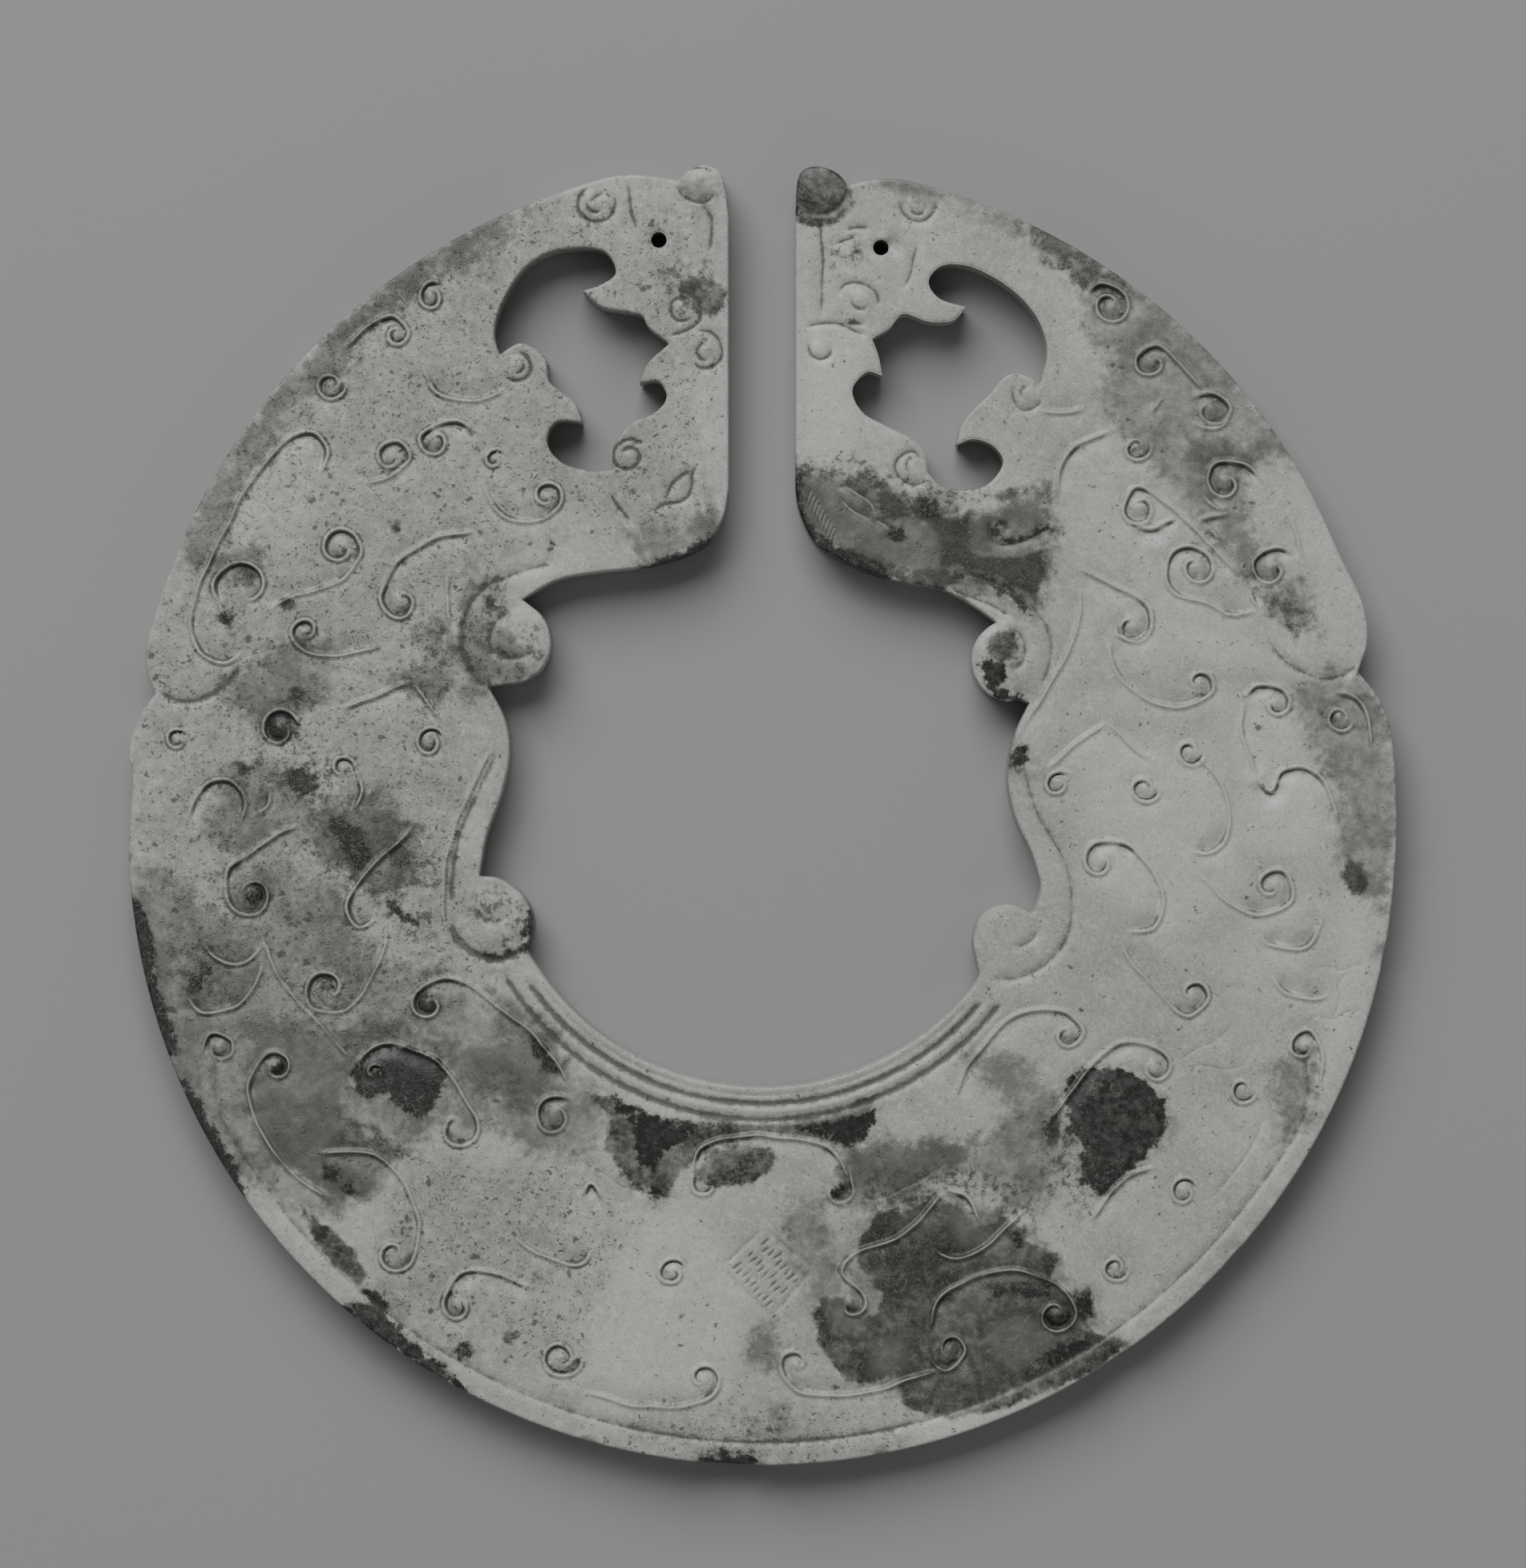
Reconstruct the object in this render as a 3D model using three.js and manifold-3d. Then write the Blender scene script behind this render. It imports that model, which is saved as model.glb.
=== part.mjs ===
// A jade slit ring, carved from one flat slab: a wide ring cut through at the top by a narrow slit,
// with a dragon's head on each side of it, two pierced openings under the heads, and scrolls over
// the whole face. It lies on its back. X runs across the ring, Y towards the slit and Z up out of
// the carved face. The outline and the carving are in hundredths of the outer radius, from the
// ring's centre, and the slab, slit, bores and tool cuts have sizes of their own in millimetres.
import * as THREE from "three";
import { mergeVertices } from "three/addons/utils/BufferGeometryUtils.js";
import Module from "manifold-3d";

const OUTER_RADIUS = 101;
const SLAB_THICKNESS = 9;
const SLIT_WIDTH = 10.6;
const EDGE_ROUNDING = 0.55;
const DRILL_HOLE_DIAMETER = 2.5;
const DRILL_MOUTH_TILT = 35;
const MAIN_LINE_WIDTH = 1.3;
const MAIN_LINE_DEPTH = 0.8;
const FINE_LINE_WIDTH = 0.95;
const FINE_LINE_DEPTH = 0.55;
const RIM_LINE_WIDTH = 1.2;
const RIM_LINE_DEPTH = 0.6;
const BACK_LINE_WIDTH = 1.1;
const BACK_LINE_DEPTH = 0.45;
const BOSS_HEIGHT = 0.55;
const CHIP_DEPTH = 1.6;

const OUTLINE_STEP = 4.6;
const OPENING_STEP = 2.8;
const CURL_POINTS_PER_TURN = 5;
const CURL_WIND_IN = 0.68;
const LINE_END_SHARE = 0.12;
const CUT_CLEARANCE = BOSS_HEIGHT + 0.2;

const UNIT = OUTER_RADIUS / 100;
const SLIT_WALL = SLIT_WIDTH / 2 / UNIT;
const radians = THREE.MathUtils.degToRad;

// Points of an arc about a centre, from one angle to another in degrees.
function arc(x, y, radius, from, to, count = 9) {
  return Array.from({ length: count }, (_, i) => {
    const angle = radians(from + ((to - from) * i) / (count - 1));
    return [x + radius * Math.cos(angle), y + radius * Math.sin(angle)];
  });
}

// A smooth run through points given in hundredths, as a curve in millimetres at one height.
function curveThrough(points, height = 0) {
  const placed = points.map(([x, y]) => new THREE.Vector3(x * UNIT, y * UNIT, height));
  return new THREE.CatmullRomCurve3(placed, false, "centripetal");
}

// A closed outline of smooth runs that meet at sharp corners, with about one point for each step.
function outline(runs, step) {
  return runs.flatMap((run) => {
    const curve = curveThrough(run);
    const count = Math.max(1, Math.round(curve.getLength() / step));
    return curve.getSpacedPoints(count).slice(0, -1);
  }).map(({ x, y }) => new THREE.Vector2(x, y));
}

// A point beside the slit: side is -1 on the left and 1 on the right.
const beside = (side, away, y) => [side * (SLIT_WALL + away), y];

const leftKnob = [
  beside(-1, 0, 97), beside(-1, 0.3, 99.4), beside(-1, 0.6, 101.6), beside(-1, 1.4, 104),
  beside(-1, 4.1, 105.1), beside(-1, 6.9, 103.9), [-13.5, 102.7],
];
const leftShoulder = [
  [-13.5, 102.7], [-17.5, 103.3], ...arc(0, 6.5, 99.5, 103, 160),
  [-95.6, 34.7], [-97.1, 29], [-96.8, 24.6], [-95.6, 21.8],
];
const lowerRim = [
  [-95.6, 21.8], [-97.4, 19.3], [-99.1, 16], [-99.8, 11], ...arc(0, 0, 99.9, 174, 350, 21),
  [99.7, -6], [100, 1], [99.8, 9], [98.9, 16.8], [97.2, 20.9], [93.9, 25.2],
];
const rightShoulder = [
  [93.9, 25.2], [95.4, 30], [94.8, 35.6], ...arc(0, 7.2, 98.1, 21.5, 76.5),
  [20.1, 102.9], [16.6, 102.6], [13.5, 101.9],
];
const rightKnob = [
  [13.5, 101.9], beside(1, 6.7, 103.7), beside(1, 3.5, 104.9), beside(1, 1, 104.1),
  beside(1, 0.3, 102.4), beside(1, 0.1, 99.5), beside(1, 0, 97),
];
const rightChin = [
  beside(1, 0, 54), beside(1, 0.5, 51), [8.3, 45.6], [12.4, 42.8], [19.4, 40],
  [28.4, 38.1], [33.6, 35.4], [36.9, 33],
];
const rightUpperBoss = [[36.9, 33], ...arc(39.5, 27, 6.5, 125, 280), [42.1, 20.3]];
const rightLobe = [
  [42.1, 20.3], [40, 15.6], [38.7, 9], [40, 2], [42.6, -3.6], [43.9, -9], [42.6, -12.9],
];
const rightLowerBoss = [
  [42.6, -12.9], [38.8, -11.4], [34.9, -12.8], [33.3, -16.6], [34.3, -22.6],
];
const innerRim = [[34.3, -22.6], ...arc(0, 2.4, 42.7, -39, -149, 12), [-37.2, -18.4]];
const leftLowerBoss = [
  [-37.2, -18.4], [-36.1, -14.2], [-37.5, -10.4], [-41.6, -7.4], [-44.6, -7],
];
const leftLobe = [
  [-44.6, -7], [-43.5, -0.7], [-41, 6.3], [-39.8, 12.5], [-40.4, 17.3], [-43.1, 22.8],
];
const leftUpperBoss = [[-43.1, 22.8], ...arc(-40, 29.9, 6.7, -90, 60), [-37.8, 36.6]];
const leftChin = [
  [-37.8, 36.6], [-32.3, 39.7], [-26, 40.9], [-16.7, 42.1], [-8.9, 45.2],
  beside(-1, 0.9, 49.6), beside(-1, 0, 54),
];
const ringRuns = [
  leftKnob, leftShoulder, lowerRim, rightShoulder, rightKnob, [rightKnob.at(-1), rightChin[0]],
  rightChin, rightUpperBoss, rightLobe, rightLowerBoss, innerRim, leftLowerBoss, leftLobe,
  leftUpperBoss, leftChin, [leftChin.at(-1), leftKnob[0]],
];

// The opening under each head, from the back of the neck over the tooth, lip and jaw to the beak.
const leftOpening = [
  [[-41.4, 75.2], [-42.2, 78.4], [-41.3, 82.5], [-37.8, 88.4], [-33.7, 91.2], [-28.8, 92],
    [-24.7, 91.3], [-23.1, 88], [-25.7, 86.1], [-28.3, 85.3]],
  [[-28.3, 85.3], [-25.7, 82.9], [-21.5, 81.9], [-18.9, 81.3], [-18.1, 79.7], [-14.7, 76.9]],
  [[-14.7, 76.9], [-18.1, 73.7], [-19.3, 70.7]],
  [[-19.3, 70.7], [-16.2, 70.9], [-15.1, 68.3], [-17, 66], [-20.8, 64.3], [-23.3, 61],
    [-23.6, 57]],
  [[-23.6, 57], [-27.4, 56.9], [-31.9, 58.4], [-33.9, 61.4], [-32.6, 64.5], [-28.3, 64.5]],
  [[-28.3, 64.5], [-29.3, 67.4], [-33.6, 71.1], [-34, 74.5], [-38, 77], [-41.4, 75.2]],
];
const rightOpening = [
  [[43.7, 70.4], [44.9, 75.6], [43.8, 80.1], [40.9, 84.1], [36.3, 87.5], [31.8, 89.3],
    [28, 89.1], [26.2, 86.7], [27.7, 84.2], [32.1, 82.7]],
  [[32.1, 82.7], [30.1, 80.6], [26.3, 80.4], [22.1, 81.6], [20.1, 79.4], [17.3, 77.7]],
  [[17.3, 77.7], [18.3, 75.1], [18.9, 71.9]],
  [[18.9, 71.9], [16.6, 72.5], [14.2, 69.7], [15.7, 66.2], [19.4, 64], [24.9, 60.9],
    [26.1, 56.5]],
  [[26.1, 56.5], [28, 54.6], [31.5, 53.9], [35.3, 54.6], [38, 58.3], [36.3, 60.9],
    [33.2, 61.9], [30.6, 61]],
  [[30.6, 61], [31.6, 64.5], [35.8, 69], [38.8, 72.1], [41.9, 71.8], [43.7, 70.4]],
];

// A scroll: the tail's points, then a curl that winds in from the tail's end about a centre.
// Turns are positive anticlockwise.
function scroll(tail, centre, turns = 1.2) {
  const [x, y] = tail.at(-1);
  const from = Math.atan2(y - centre[1], x - centre[0]);
  const radius = Math.hypot(x - centre[0], y - centre[1]);
  const count = Math.ceil(Math.abs(turns) * CURL_POINTS_PER_TURN);
  const curl = Array.from({ length: count }, (_, i) => {
    const share = (i + 1) / count;
    const angle = from + share * turns * 2 * Math.PI;
    const reach = radius * (1 - CURL_WIND_IN * share);
    return [centre[0] + reach * Math.cos(angle), centre[1] + reach * Math.sin(angle)];
  });
  return [...tail, ...curl];
}

// Lines of the heads: the knob, ear, mane, nostril, lips and jaw on each side of the slit, then
// the lower head's eye, and the curls at the edges of the openings.
const headLines = [
  [[-13.9, 102.5], [-13.6, 100.7], [-12.2, 99.5], [-10.5, 99.2], [-9, 99.6]],
  scroll([[-23.4, 99.2]], [-26.5, 98.8], -1.25),
  [[-21.4, 102], [-21.2, 100.5], [-20.7, 97.7], [-19.3, 94.6]],
  scroll([[-15.3, 77.7], [-11.8, 78.9], [-9.6, 82.5]], [-12.7, 82.9], 1.3),
  scroll([[-11, 79], [-8.4, 78.7], [-6.9, 76.8]], [-9.1, 75.6], -1.1),
  scroll([[-18.6, 60.8]], [-21, 59.1], 1.3),
  scroll([[-53.5, 73.2], [-50.8, 69.1], [-45.4, 67.9], [-40.7, 69.6], [-37, 71.9]],
    [-38.7, 73.3], 1.1),
  [[-9.9, 58.3], [-11.2, 56.3], [-11.3, 54.1], [-12.7, 52.4]],
  [[-11.6, 56.5], [-14, 55], [-14.9, 52.7], [-17, 50.4]],
  scroll([[-43.7, 54.9], [-42, 50.8], [-38, 48.8], [-34, 49.4], [-31.7, 51.8]],
    [-34, 52.9], 1.1),
  [[9.6, 99.3], [11.4, 98.5], [13, 99.6], [13.4, 101.4]],
  [[9.5, 97], [9.5, 80.7]],
  scroll([[27.6, 99.4]], [24.6, 98], -1.3),
  [[11, 92.1], [13.4, 93.1], [15.3, 94.4]],
  [[25, 93], [23.8, 90.2], [23.3, 87.4], [21.9, 84.8]],
  scroll([[12.6, 85.4], [14.6, 86.5], [17.2, 85.7]], [15.6, 83.6], -1.1),
  [[6.5, 79], [8.2, 79.9], [10.8, 80.2], [13.9, 79.3], [16.6, 78]],
  scroll([[10.9, 77.1]], [9, 76], 1.1),
  scroll([[25.6, 58.6]], [23.4, 57.3], 1.5),
  scroll([[51, 66.7], [47, 66], [43.4, 66.6], [44, 69.4]], [41.6, 69.2], 1.2),
  [[11.5, 54.9], [14, 54.2], [16.4, 52.4], [17.6, 50.6]],
  [[12.9, 52.6], [14.5, 51.2], [17.2, 49.5], [19.8, 48.2]],
  [[20.2, 50], [20, 46], [20.7, 42.4]],
  scroll([[46, 48.6], [43, 46.4], [39.5, 45.2], [36.2, 45.9], [35.9, 48]], [37.4, 47.6], -0.8),
];

// Lines around the bosses at the inner edge, and the ends of the upper lobes.
const lobeLines = [
  [[-32.3, 42.6], [-39.2, 41.1], [-43.9, 38.1], [-46.8, 33.3], [-47, 27.4], [-44, 23.2]],
  [[-45.6, 10.1], [-46.5, 3.8], [-48.5, 0], [-49.8, -7]],
  [[-48.2, -17.3], [-44, -20.1], [-39.2, -19.6]],
  scroll([[-45.3, -12.8], [-44, -13.7], [-41.2, -13]], [-42.7, -11.1], 0.8),
  [[29.5, 41.4], [35, 40], [40.5, 37], [44.6, 32.6], [45.8, 28], [43.2, 22.4]],
  scroll([[38.2, 24.2], [35, 24.9], [34.7, 29]], [37.6, 28.4], -0.9),
  [[41, 15.5], [39.9, 9], [41.2, 2.6], [43.6, -3]],
  [[-94.6, 21.4], [-91.6, 20.4], [-87.1, 20.8], [-84.2, 23.9], [-81.4, 28.2]],
  [[93, 25.3], [88, 24.3], [83.6, 25], [80.3, 28.8]],
];

// Scrolls of the left side, from the slit round to the bottom.
const leftScrolls = [
  scroll([[-66, 75.9], [-62.2, 79.6], [-58, 81.4], [-55.8, 78.8]], [-57.7, 78.4], -1),
  [[-69.3, 56.5], [-68.4, 60], [-70.5, 62.8], [-74.3, 62.2], [-82.3, 52.7], [-87.1, 42.3],
    [-90.1, 33.3], [-88.5, 28.2], [-85, 26.5]],
  scroll([[-63.2, 55.1], [-58.4, 55.9], [-55.5, 59]], [-58.4, 59], 1.1),
  scroll([[-44, 62.3], [-48.8, 64.7], [-53.9, 62.6]], [-51.5, 61.6], 1),
  scroll([[-77.3, 35], [-73.3, 37.4], [-66.3, 39.5], [-63.3, 44]], [-66.6, 44.8], 1.2),
  scroll([[-84.5, 33], [-86.4, 38.5]], [-81.5, 38.5], -0.8),
  scroll([[-45.1, 47], [-50.1, 46.6], [-57.7, 42.1], [-59.9, 38]], [-57, 36.2], 1),
  scroll([[-59.8, 28.9], [-71.9, 28.1], [-74.2, 31.2]], [-72, 31.5], -1),
  [[-66.5, 19], [-61.8, 21.1], [-55.1, 23.7], [-50.4, 17]],
  scroll([[-64.6, 2.8], [-63.2, 6.3], [-64, 9.8]], [-66, 10.2], 1),
  [[-90.5, 1], [-89.6, 5.1], [-86.9, 7.8], [-83.9, 8], [-81.6, 5], [-82.7, 0.9]],
  scroll([[-72.6, 0.7], [-78.1, -1.3], [-83, -4.7], [-84.4, -9]], [-80.5, -9.9], 1.1),
  [[-87.8, -17.3], [-85.4, -20.4], [-80.9, -20.3], [-78.3, -17.3]],
  [[-78.6, -20.1], [-80.5, -24.9], [-85.4, -28.4], [-90.2, -27]],
  [[-79.1, -16], [-75.7, -23.7], [-66.3, -33.9]],
  [[-54.6, 1], [-61.5, -5.6], [-65.6, -12.1], [-63.6, -14.9], [-60.1, -13.5]],
  scroll([[-58.9, -16], [-60.4, -21.1], [-65.6, -28.1], [-70.5, -28.1]], [-68.6, -24.8], -0.9),
  scroll([[-30.2, -40.2], [-33.7, -34.6], [-41.3, -27.7], [-50, -22.9], [-54.8, -25.6]],
    [-52.6, -27.3], 0.9),
  scroll([[-68.1, -57.9], [-78.2, -48.7], [-80.9, -40.4], [-78.6, -35.3]], [-76.5, -37], -1),
  scroll([[-88.5, -36], [-87.1, -32], [-83.9, -32.6]], [-85.6, -34.2], -0.9),
  scroll([[-64.5, -37], [-60, -33.4], [-51, -36.5], [-45.6, -44]], [-48, -46.8], -1),
  scroll([[-70, -50.5], [-60, -51.5], [-54.2, -60.5], [-55, -67.4]], [-58, -66.6], -1),
  scroll([[-36.4, -72.1], [-42, -69.7], [-47.2, -69.5], [-50, -73]], [-47.9, -74.7], 0.9),
  [[-39.4, -63.8], [-35, -66.6], [-30.5, -68.2], [-26.7, -65.5]],
  scroll([[-27.9, -88.4], [-18.4, -90.8], [-8.7, -89.6], [-6.8, -87]], [-9.3, -86.2], 0.9),
];

// Scrolls of the right side, from the slit round to the bottom.
const rightScrolls = [
  scroll([[51, 84], [53.5, 86.4], [57, 84.9]], [54.8, 82.8], -1.2),
  scroll([[70, 69.3], [65.5, 74], [61.8, 76.9], [59, 75]], [61.2, 73.8], 0.9),
  scroll([[67.5, 68.4], [71, 69.3], [73.8, 67]], [70.8, 66.4], -0.8),
  [[47, 54.6], [46.9, 57.4], [49, 60.4], [55.2, 63.1]],
  scroll([[79, 55], [75.5, 58], [71.5, 58.2], [70.2, 55.6]], [73, 55], 0.8),
  scroll([[75, 40.5], [71.5, 44.5], [64.7, 50.8], [59, 54.4], [56.8, 51.6]], [59.6, 51], 1),
  scroll([[78, 34.6], [72, 34.7], [67, 37], [63.5, 40.2], [64.8, 44.2]], [68, 41.8], -1.2),
  scroll([[84.5, 43.4], [81, 45], [77.2, 42.6]], [80, 41.4], 0.8),
  [[82.8, 50], [84.2, 46.8], [85.3, 43]],
  scroll([[50, 41.7], [55, 38.9], [60.8, 35.7], [61.4, 32.6]], [58.4, 32.4], -0.9),
  scroll([[54.8, 30], [55.4, 25.5], [59.5, 21.6], [65.5, 19.5], [70.9, 22]], [68.8, 23.4], 0.9),
  [[44.4, 9.6], [49, 13.5], [54.6, 17.4], [58, 13.6], [61.5, 10.8]],
  scroll([[75.8, 20.5], [78, 23.2], [81.8, 22.6]], [80.9, 20.2], -0.9),
  [[78, 10], [80, 6.3], [81.5, 9.3], [85, 10.3], [88.5, 8], [90.3, 3]],
  scroll([[68.8, -6.6], [72.1, -10], [77.6, -13.2], [83.5, -11.1], [82.6, -6.6]],
    [80.5, -8.5], 0.9),
  scroll([[57.2, -15.8], [61.7, -14.9], [63, -10], [58.3, -2.5], [53.6, -1.4]],
    [53.4, -4.6], 0.9),
  scroll([[56.9, -17.3], [61.6, -24.6], [67.3, -29.1], [70.4, -26.2]], [67.9, -25.6], 0.8),
  scroll([[45, -46], [50.9, -38.1], [56.6, -33.1], [62, -34]], [61.8, -37.2], -0.9),
  scroll([[30.1, -42.2], [33.2, -35.7], [40, -29.1], [47.7, -28.2], [50.6, -31.4]],
    [48.2, -31.8], -1),
  scroll([[87.7, -40.2], [88.4, -34.6], [86.3, -31.4]], [85.4, -33.8], 0.9),
  [[80.1, -22.2], [82.1, -25.3], [87.3, -26.3]],
  [[62.1, -52.6], [55.8, -55.8], [51.7, -61.7]],
  scroll([[28.5, -56.5], [22.8, -63.1], [14.8, -66.4], [12.3, -69.6], [15.6, -72.3]],
    [14.2, -74.4], -0.8),
  [[27, -65.9], [30.4, -67.3], [34.9, -65.5], [41.5, -59.3]],
  scroll([[26.1, -79.4], [28.4, -73.1], [38.8, -69.2], [46.7, -71.4], [49.4, -75.4]],
    [46.2, -76.2], -1.1),
  scroll([[25.6, -82], [29, -84.7], [32.2, -82]], [29.6, -81.6], 0.8),
  scroll([[28.7, -84.3], [17.3, -88.1], [6.2, -88.3], [3, -85.6]], [5.2, -84], -0.9),
];

// Lines that follow the rims, and the bracket over the panel at the bottom.
const rimLines = [
  arc(0, 2.4, 44.4, -38, -147, 11),
  arc(0, 2.4, 47, -37, -149, 11),
  [[-86, -34], ...arc(0, 0, 96.2, 207, 333, 14), [85.5, -33.5]],
  [[79.4, -44.3], [74.5, -53.1], [69, -60]],
  scroll([[14.1, -55.2], [10.7, -50], [0, -47.9], [-9.8, -49.9], [-11, -54.5]], [-8.9, -55.6], 0.8),
  [[-31, -50], [-20.1, -56.5], [-11, -58.2]],
  [[12.1, -58.1], [20, -57.4], [30, -51.7]],
];

// The small panel at the bottom, a square on its corner, holds rows of short shallow strokes.
const PANEL_CENTRE = [0.8, -69.1];
const PANEL_REACH = 6.6;
const PANEL_ROWS = 6;
const PANEL_TURN = 40;
const STROKE_DEPTH = 0.3;
const STROKE_WIDTH = 0.6;
function panelStrokes() {
  const along = new THREE.Vector2(1, 0).rotateAround(new THREE.Vector2(), radians(PANEL_TURN));
  const across = new THREE.Vector2(-along.y, along.x);
  const point = (row, place) => [
    PANEL_CENTRE[0] + along.x * place + across.x * row,
    PANEL_CENTRE[1] + along.y * place + across.y * row,
  ];
  const strokes = [];
  for (let row = 0; row < PANEL_ROWS; row += 1) {
    const level = PANEL_REACH * ((2 * (row + 0.5)) / PANEL_ROWS - 1) * 0.8;
    const lean = row % 2 ? 0.35 : -0.35;
    for (const start of [-4.2, 0.6]) {
      strokes.push([point(level, start + lean), point(level + lean, start + 3.4)]);
    }
  }
  return strokes;
}

// Lines of the plain back: the two rims, and two long scrolls down each side.
const backLines = [
  arc(0, 2.4, 45.6, -40, -145, 10),
  [[-86, -34], ...arc(0, 0, 95.6, 207, 333, 12), [85.5, -33.5]],
  ...[-1, 1].flatMap((side) => [
    scroll([[side * 66, 70], [side * 78, 50], [side * 82, 30], [side * 74, 22]],
      [side * 71, 27], side * -1.1),
    scroll([[side * 62, -38], [side * 52, -56], [side * 30, -70], [side * 22, -66]],
      [side * 25, -62], side * -1),
  ]),
];

const wasm = await Module();
wasm.setup();

// A closed geometry as a solid that can be joined and cut.
function solid(geometry) {
  geometry.deleteAttribute("normal");
  geometry.deleteAttribute("uv");
  const merged = mergeVertices(geometry, 1e-4);
  return new wasm.Manifold(new wasm.Mesh({
    numProp: 3,
    vertProperties: new Float32Array(merged.attributes.position.array),
    triVerts: new Uint32Array(merged.index.array),
  }));
}

// The blank: the slab with its outline, slit and openings, and its edges eased all round.
function blank() {
  const shape = new THREE.Shape(outline(ringRuns, OUTLINE_STEP));
  shape.holes = [leftOpening, rightOpening].map(
    (runs) => new THREE.Path(outline(runs, OPENING_STEP)),
  );
  return solid(new THREE.ExtrudeGeometry(shape, {
    depth: SLAB_THICKNESS - 2 * EDGE_ROUNDING,
    bevelThickness: EDGE_ROUNDING,
    bevelSize: EDGE_ROUNDING,
    bevelOffset: -EDGE_ROUNDING,
    bevelSegments: 1,
  }).translate(0, 0, EDGE_ROUNDING));
}

// The cutter for a line: a V section swept along it at the height of a face, cutting down from
// the front face or up from the back. It has one step for each point, so that a long plain tail
// takes few steps and a small curl many, and it runs out to nothing at both ends.
function lineCutter(points, width, depth, height) {
  const curve = curveThrough(points, height);
  curve.getUtoTmapping = (share) => share;
  const steps = points.length - 1;
  const way = height > 0 ? 1 : -1;
  const wide = (width / 2) * (1 + CUT_CLEARANCE / depth);
  const section = new THREE.Shape([
    new THREE.Vector2(-CUT_CLEARANCE * way, -wide * way),
    new THREE.Vector2(depth * way, 0),
    new THREE.Vector2(-CUT_CLEARANCE * way, wide * way),
  ]);
  const geometry = new THREE.ExtrudeGeometry(section, { steps, extrudePath: curve });
  const position = geometry.getAttribute("position");
  const ends = [curve.getPoint(0), curve.getPoint(1)];
  for (let i = 0; i < position.count; i += 1) {
    const below = (height - position.getZ(i)) * way;
    if (below <= 0) continue;
    const here = new THREE.Vector2(position.getX(i), position.getY(i));
    const toEnd = Math.min(...ends.map((end) => here.distanceTo(end)));
    const share = Math.min(1, LINE_END_SHARE + toEnd / (2 * width));
    position.setZ(i, height - below * share * way);
  }
  return solid(geometry);
}

// A low round boss that stands proud of the front face.
function boss(x, y, radius) {
  const rise = (share) => BOSS_HEIGHT * (1 - share * share);
  const profile = [0, 0.6, 1].map((share) => new THREE.Vector2(share * radius * UNIT, rise(share)));
  const foot = new THREE.Vector2(radius * UNIT, -CUT_CLEARANCE);
  const round = [new THREE.Vector2(0, -CUT_CLEARANCE), foot, ...profile.reverse()];
  return solid(new THREE.LatheGeometry(round, 12).rotateX(Math.PI / 2)
    .translate(x * UNIT, y * UNIT, SLAB_THICKNESS));
}

// A drilled hole right through the slab. A tilted mouth shows where the drill came in at a slant.
function drillHole(x, y, tilt = 0) {
  const bore = new THREE.CylinderGeometry(
    DRILL_HOLE_DIAMETER / 2, DRILL_HOLE_DIAMETER / 2, 3 * SLAB_THICKNESS, 14,
  ).rotateX(Math.PI / 2);
  if (tilt) bore.translate(0, 0, 1.5 * SLAB_THICKNESS).rotateY(radians(tilt));
  return solid(bore.translate(x * UNIT, y * UNIT, SLAB_THICKNESS * (tilt ? 0.72 : 0.5)));
}

// A chip out of the front edge, as a shallow scoop.
function chip(x, y, radius) {
  return solid(new THREE.SphereGeometry(1, 7, 4)
    .scale(radius * UNIT, radius * UNIT, CHIP_DEPTH)
    .translate(x * UNIT, y * UNIT, SLAB_THICKNESS + CHIP_DEPTH * 0.2));
}

const LEFT_DRILL_HOLE = [-16.3, 93.3];
const RIGHT_DRILL_HOLE = [18.7, 92.1];
const bosses = [
  [-9.9, 101.6, 3], [9.6, 101.4, 3.2], [-38.6, 30, 4.4], [38.4, 28, 4.4],
  [-42.2, -13.3, 3.9], [38.4, -16.6, 3.8],
];
const chips = [
  [-9, -100.4, 1.6], [-6.3, -100.6, 2.2], [-2.4, -100.8, 2.4], [18.8, -98.8, 1.7],
  [-27.6, -97.4, 1.8], [56, -83, 2.4], [74.6, -67.4, 2], [98.4, -19.6, 1.8], [-56, 90.2, 1.7],
];

function carveRing() {
  let ring = blank();
  for (const [x, y, radius] of bosses) ring = ring.add(boss(x, y, radius));
  const front = [
    [headLines, MAIN_LINE_WIDTH, MAIN_LINE_DEPTH],
    [lobeLines, MAIN_LINE_WIDTH, MAIN_LINE_DEPTH],
    [leftScrolls, FINE_LINE_WIDTH, FINE_LINE_DEPTH],
    [rightScrolls, FINE_LINE_WIDTH, FINE_LINE_DEPTH],
    [rimLines, RIM_LINE_WIDTH, RIM_LINE_DEPTH],
    [panelStrokes(), STROKE_WIDTH, STROKE_DEPTH],
  ];
  for (const [lines, width, depth] of front) {
    for (const points of lines) {
      ring = ring.subtract(lineCutter(points, width, depth, SLAB_THICKNESS));
    }
  }
  for (const points of backLines) {
    ring = ring.subtract(lineCutter(points, BACK_LINE_WIDTH, BACK_LINE_DEPTH, 0));
  }
  ring = ring.subtract(drillHole(...LEFT_DRILL_HOLE));
  ring = ring.subtract(drillHole(...RIGHT_DRILL_HOLE));
  ring = ring.subtract(drillHole(...RIGHT_DRILL_HOLE, DRILL_MOUTH_TILT));
  for (const [x, y, radius] of chips) ring = ring.subtract(chip(x, y, radius));
  return ring;
}

const { vertProperties, triVerts } = carveRing().getMesh();
const geometry = new THREE.BufferGeometry();
geometry.setAttribute("position", new THREE.BufferAttribute(vertProperties, 3));
geometry.setIndex(new THREE.BufferAttribute(triVerts, 1));
geometry.computeVertexNormals();

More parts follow.
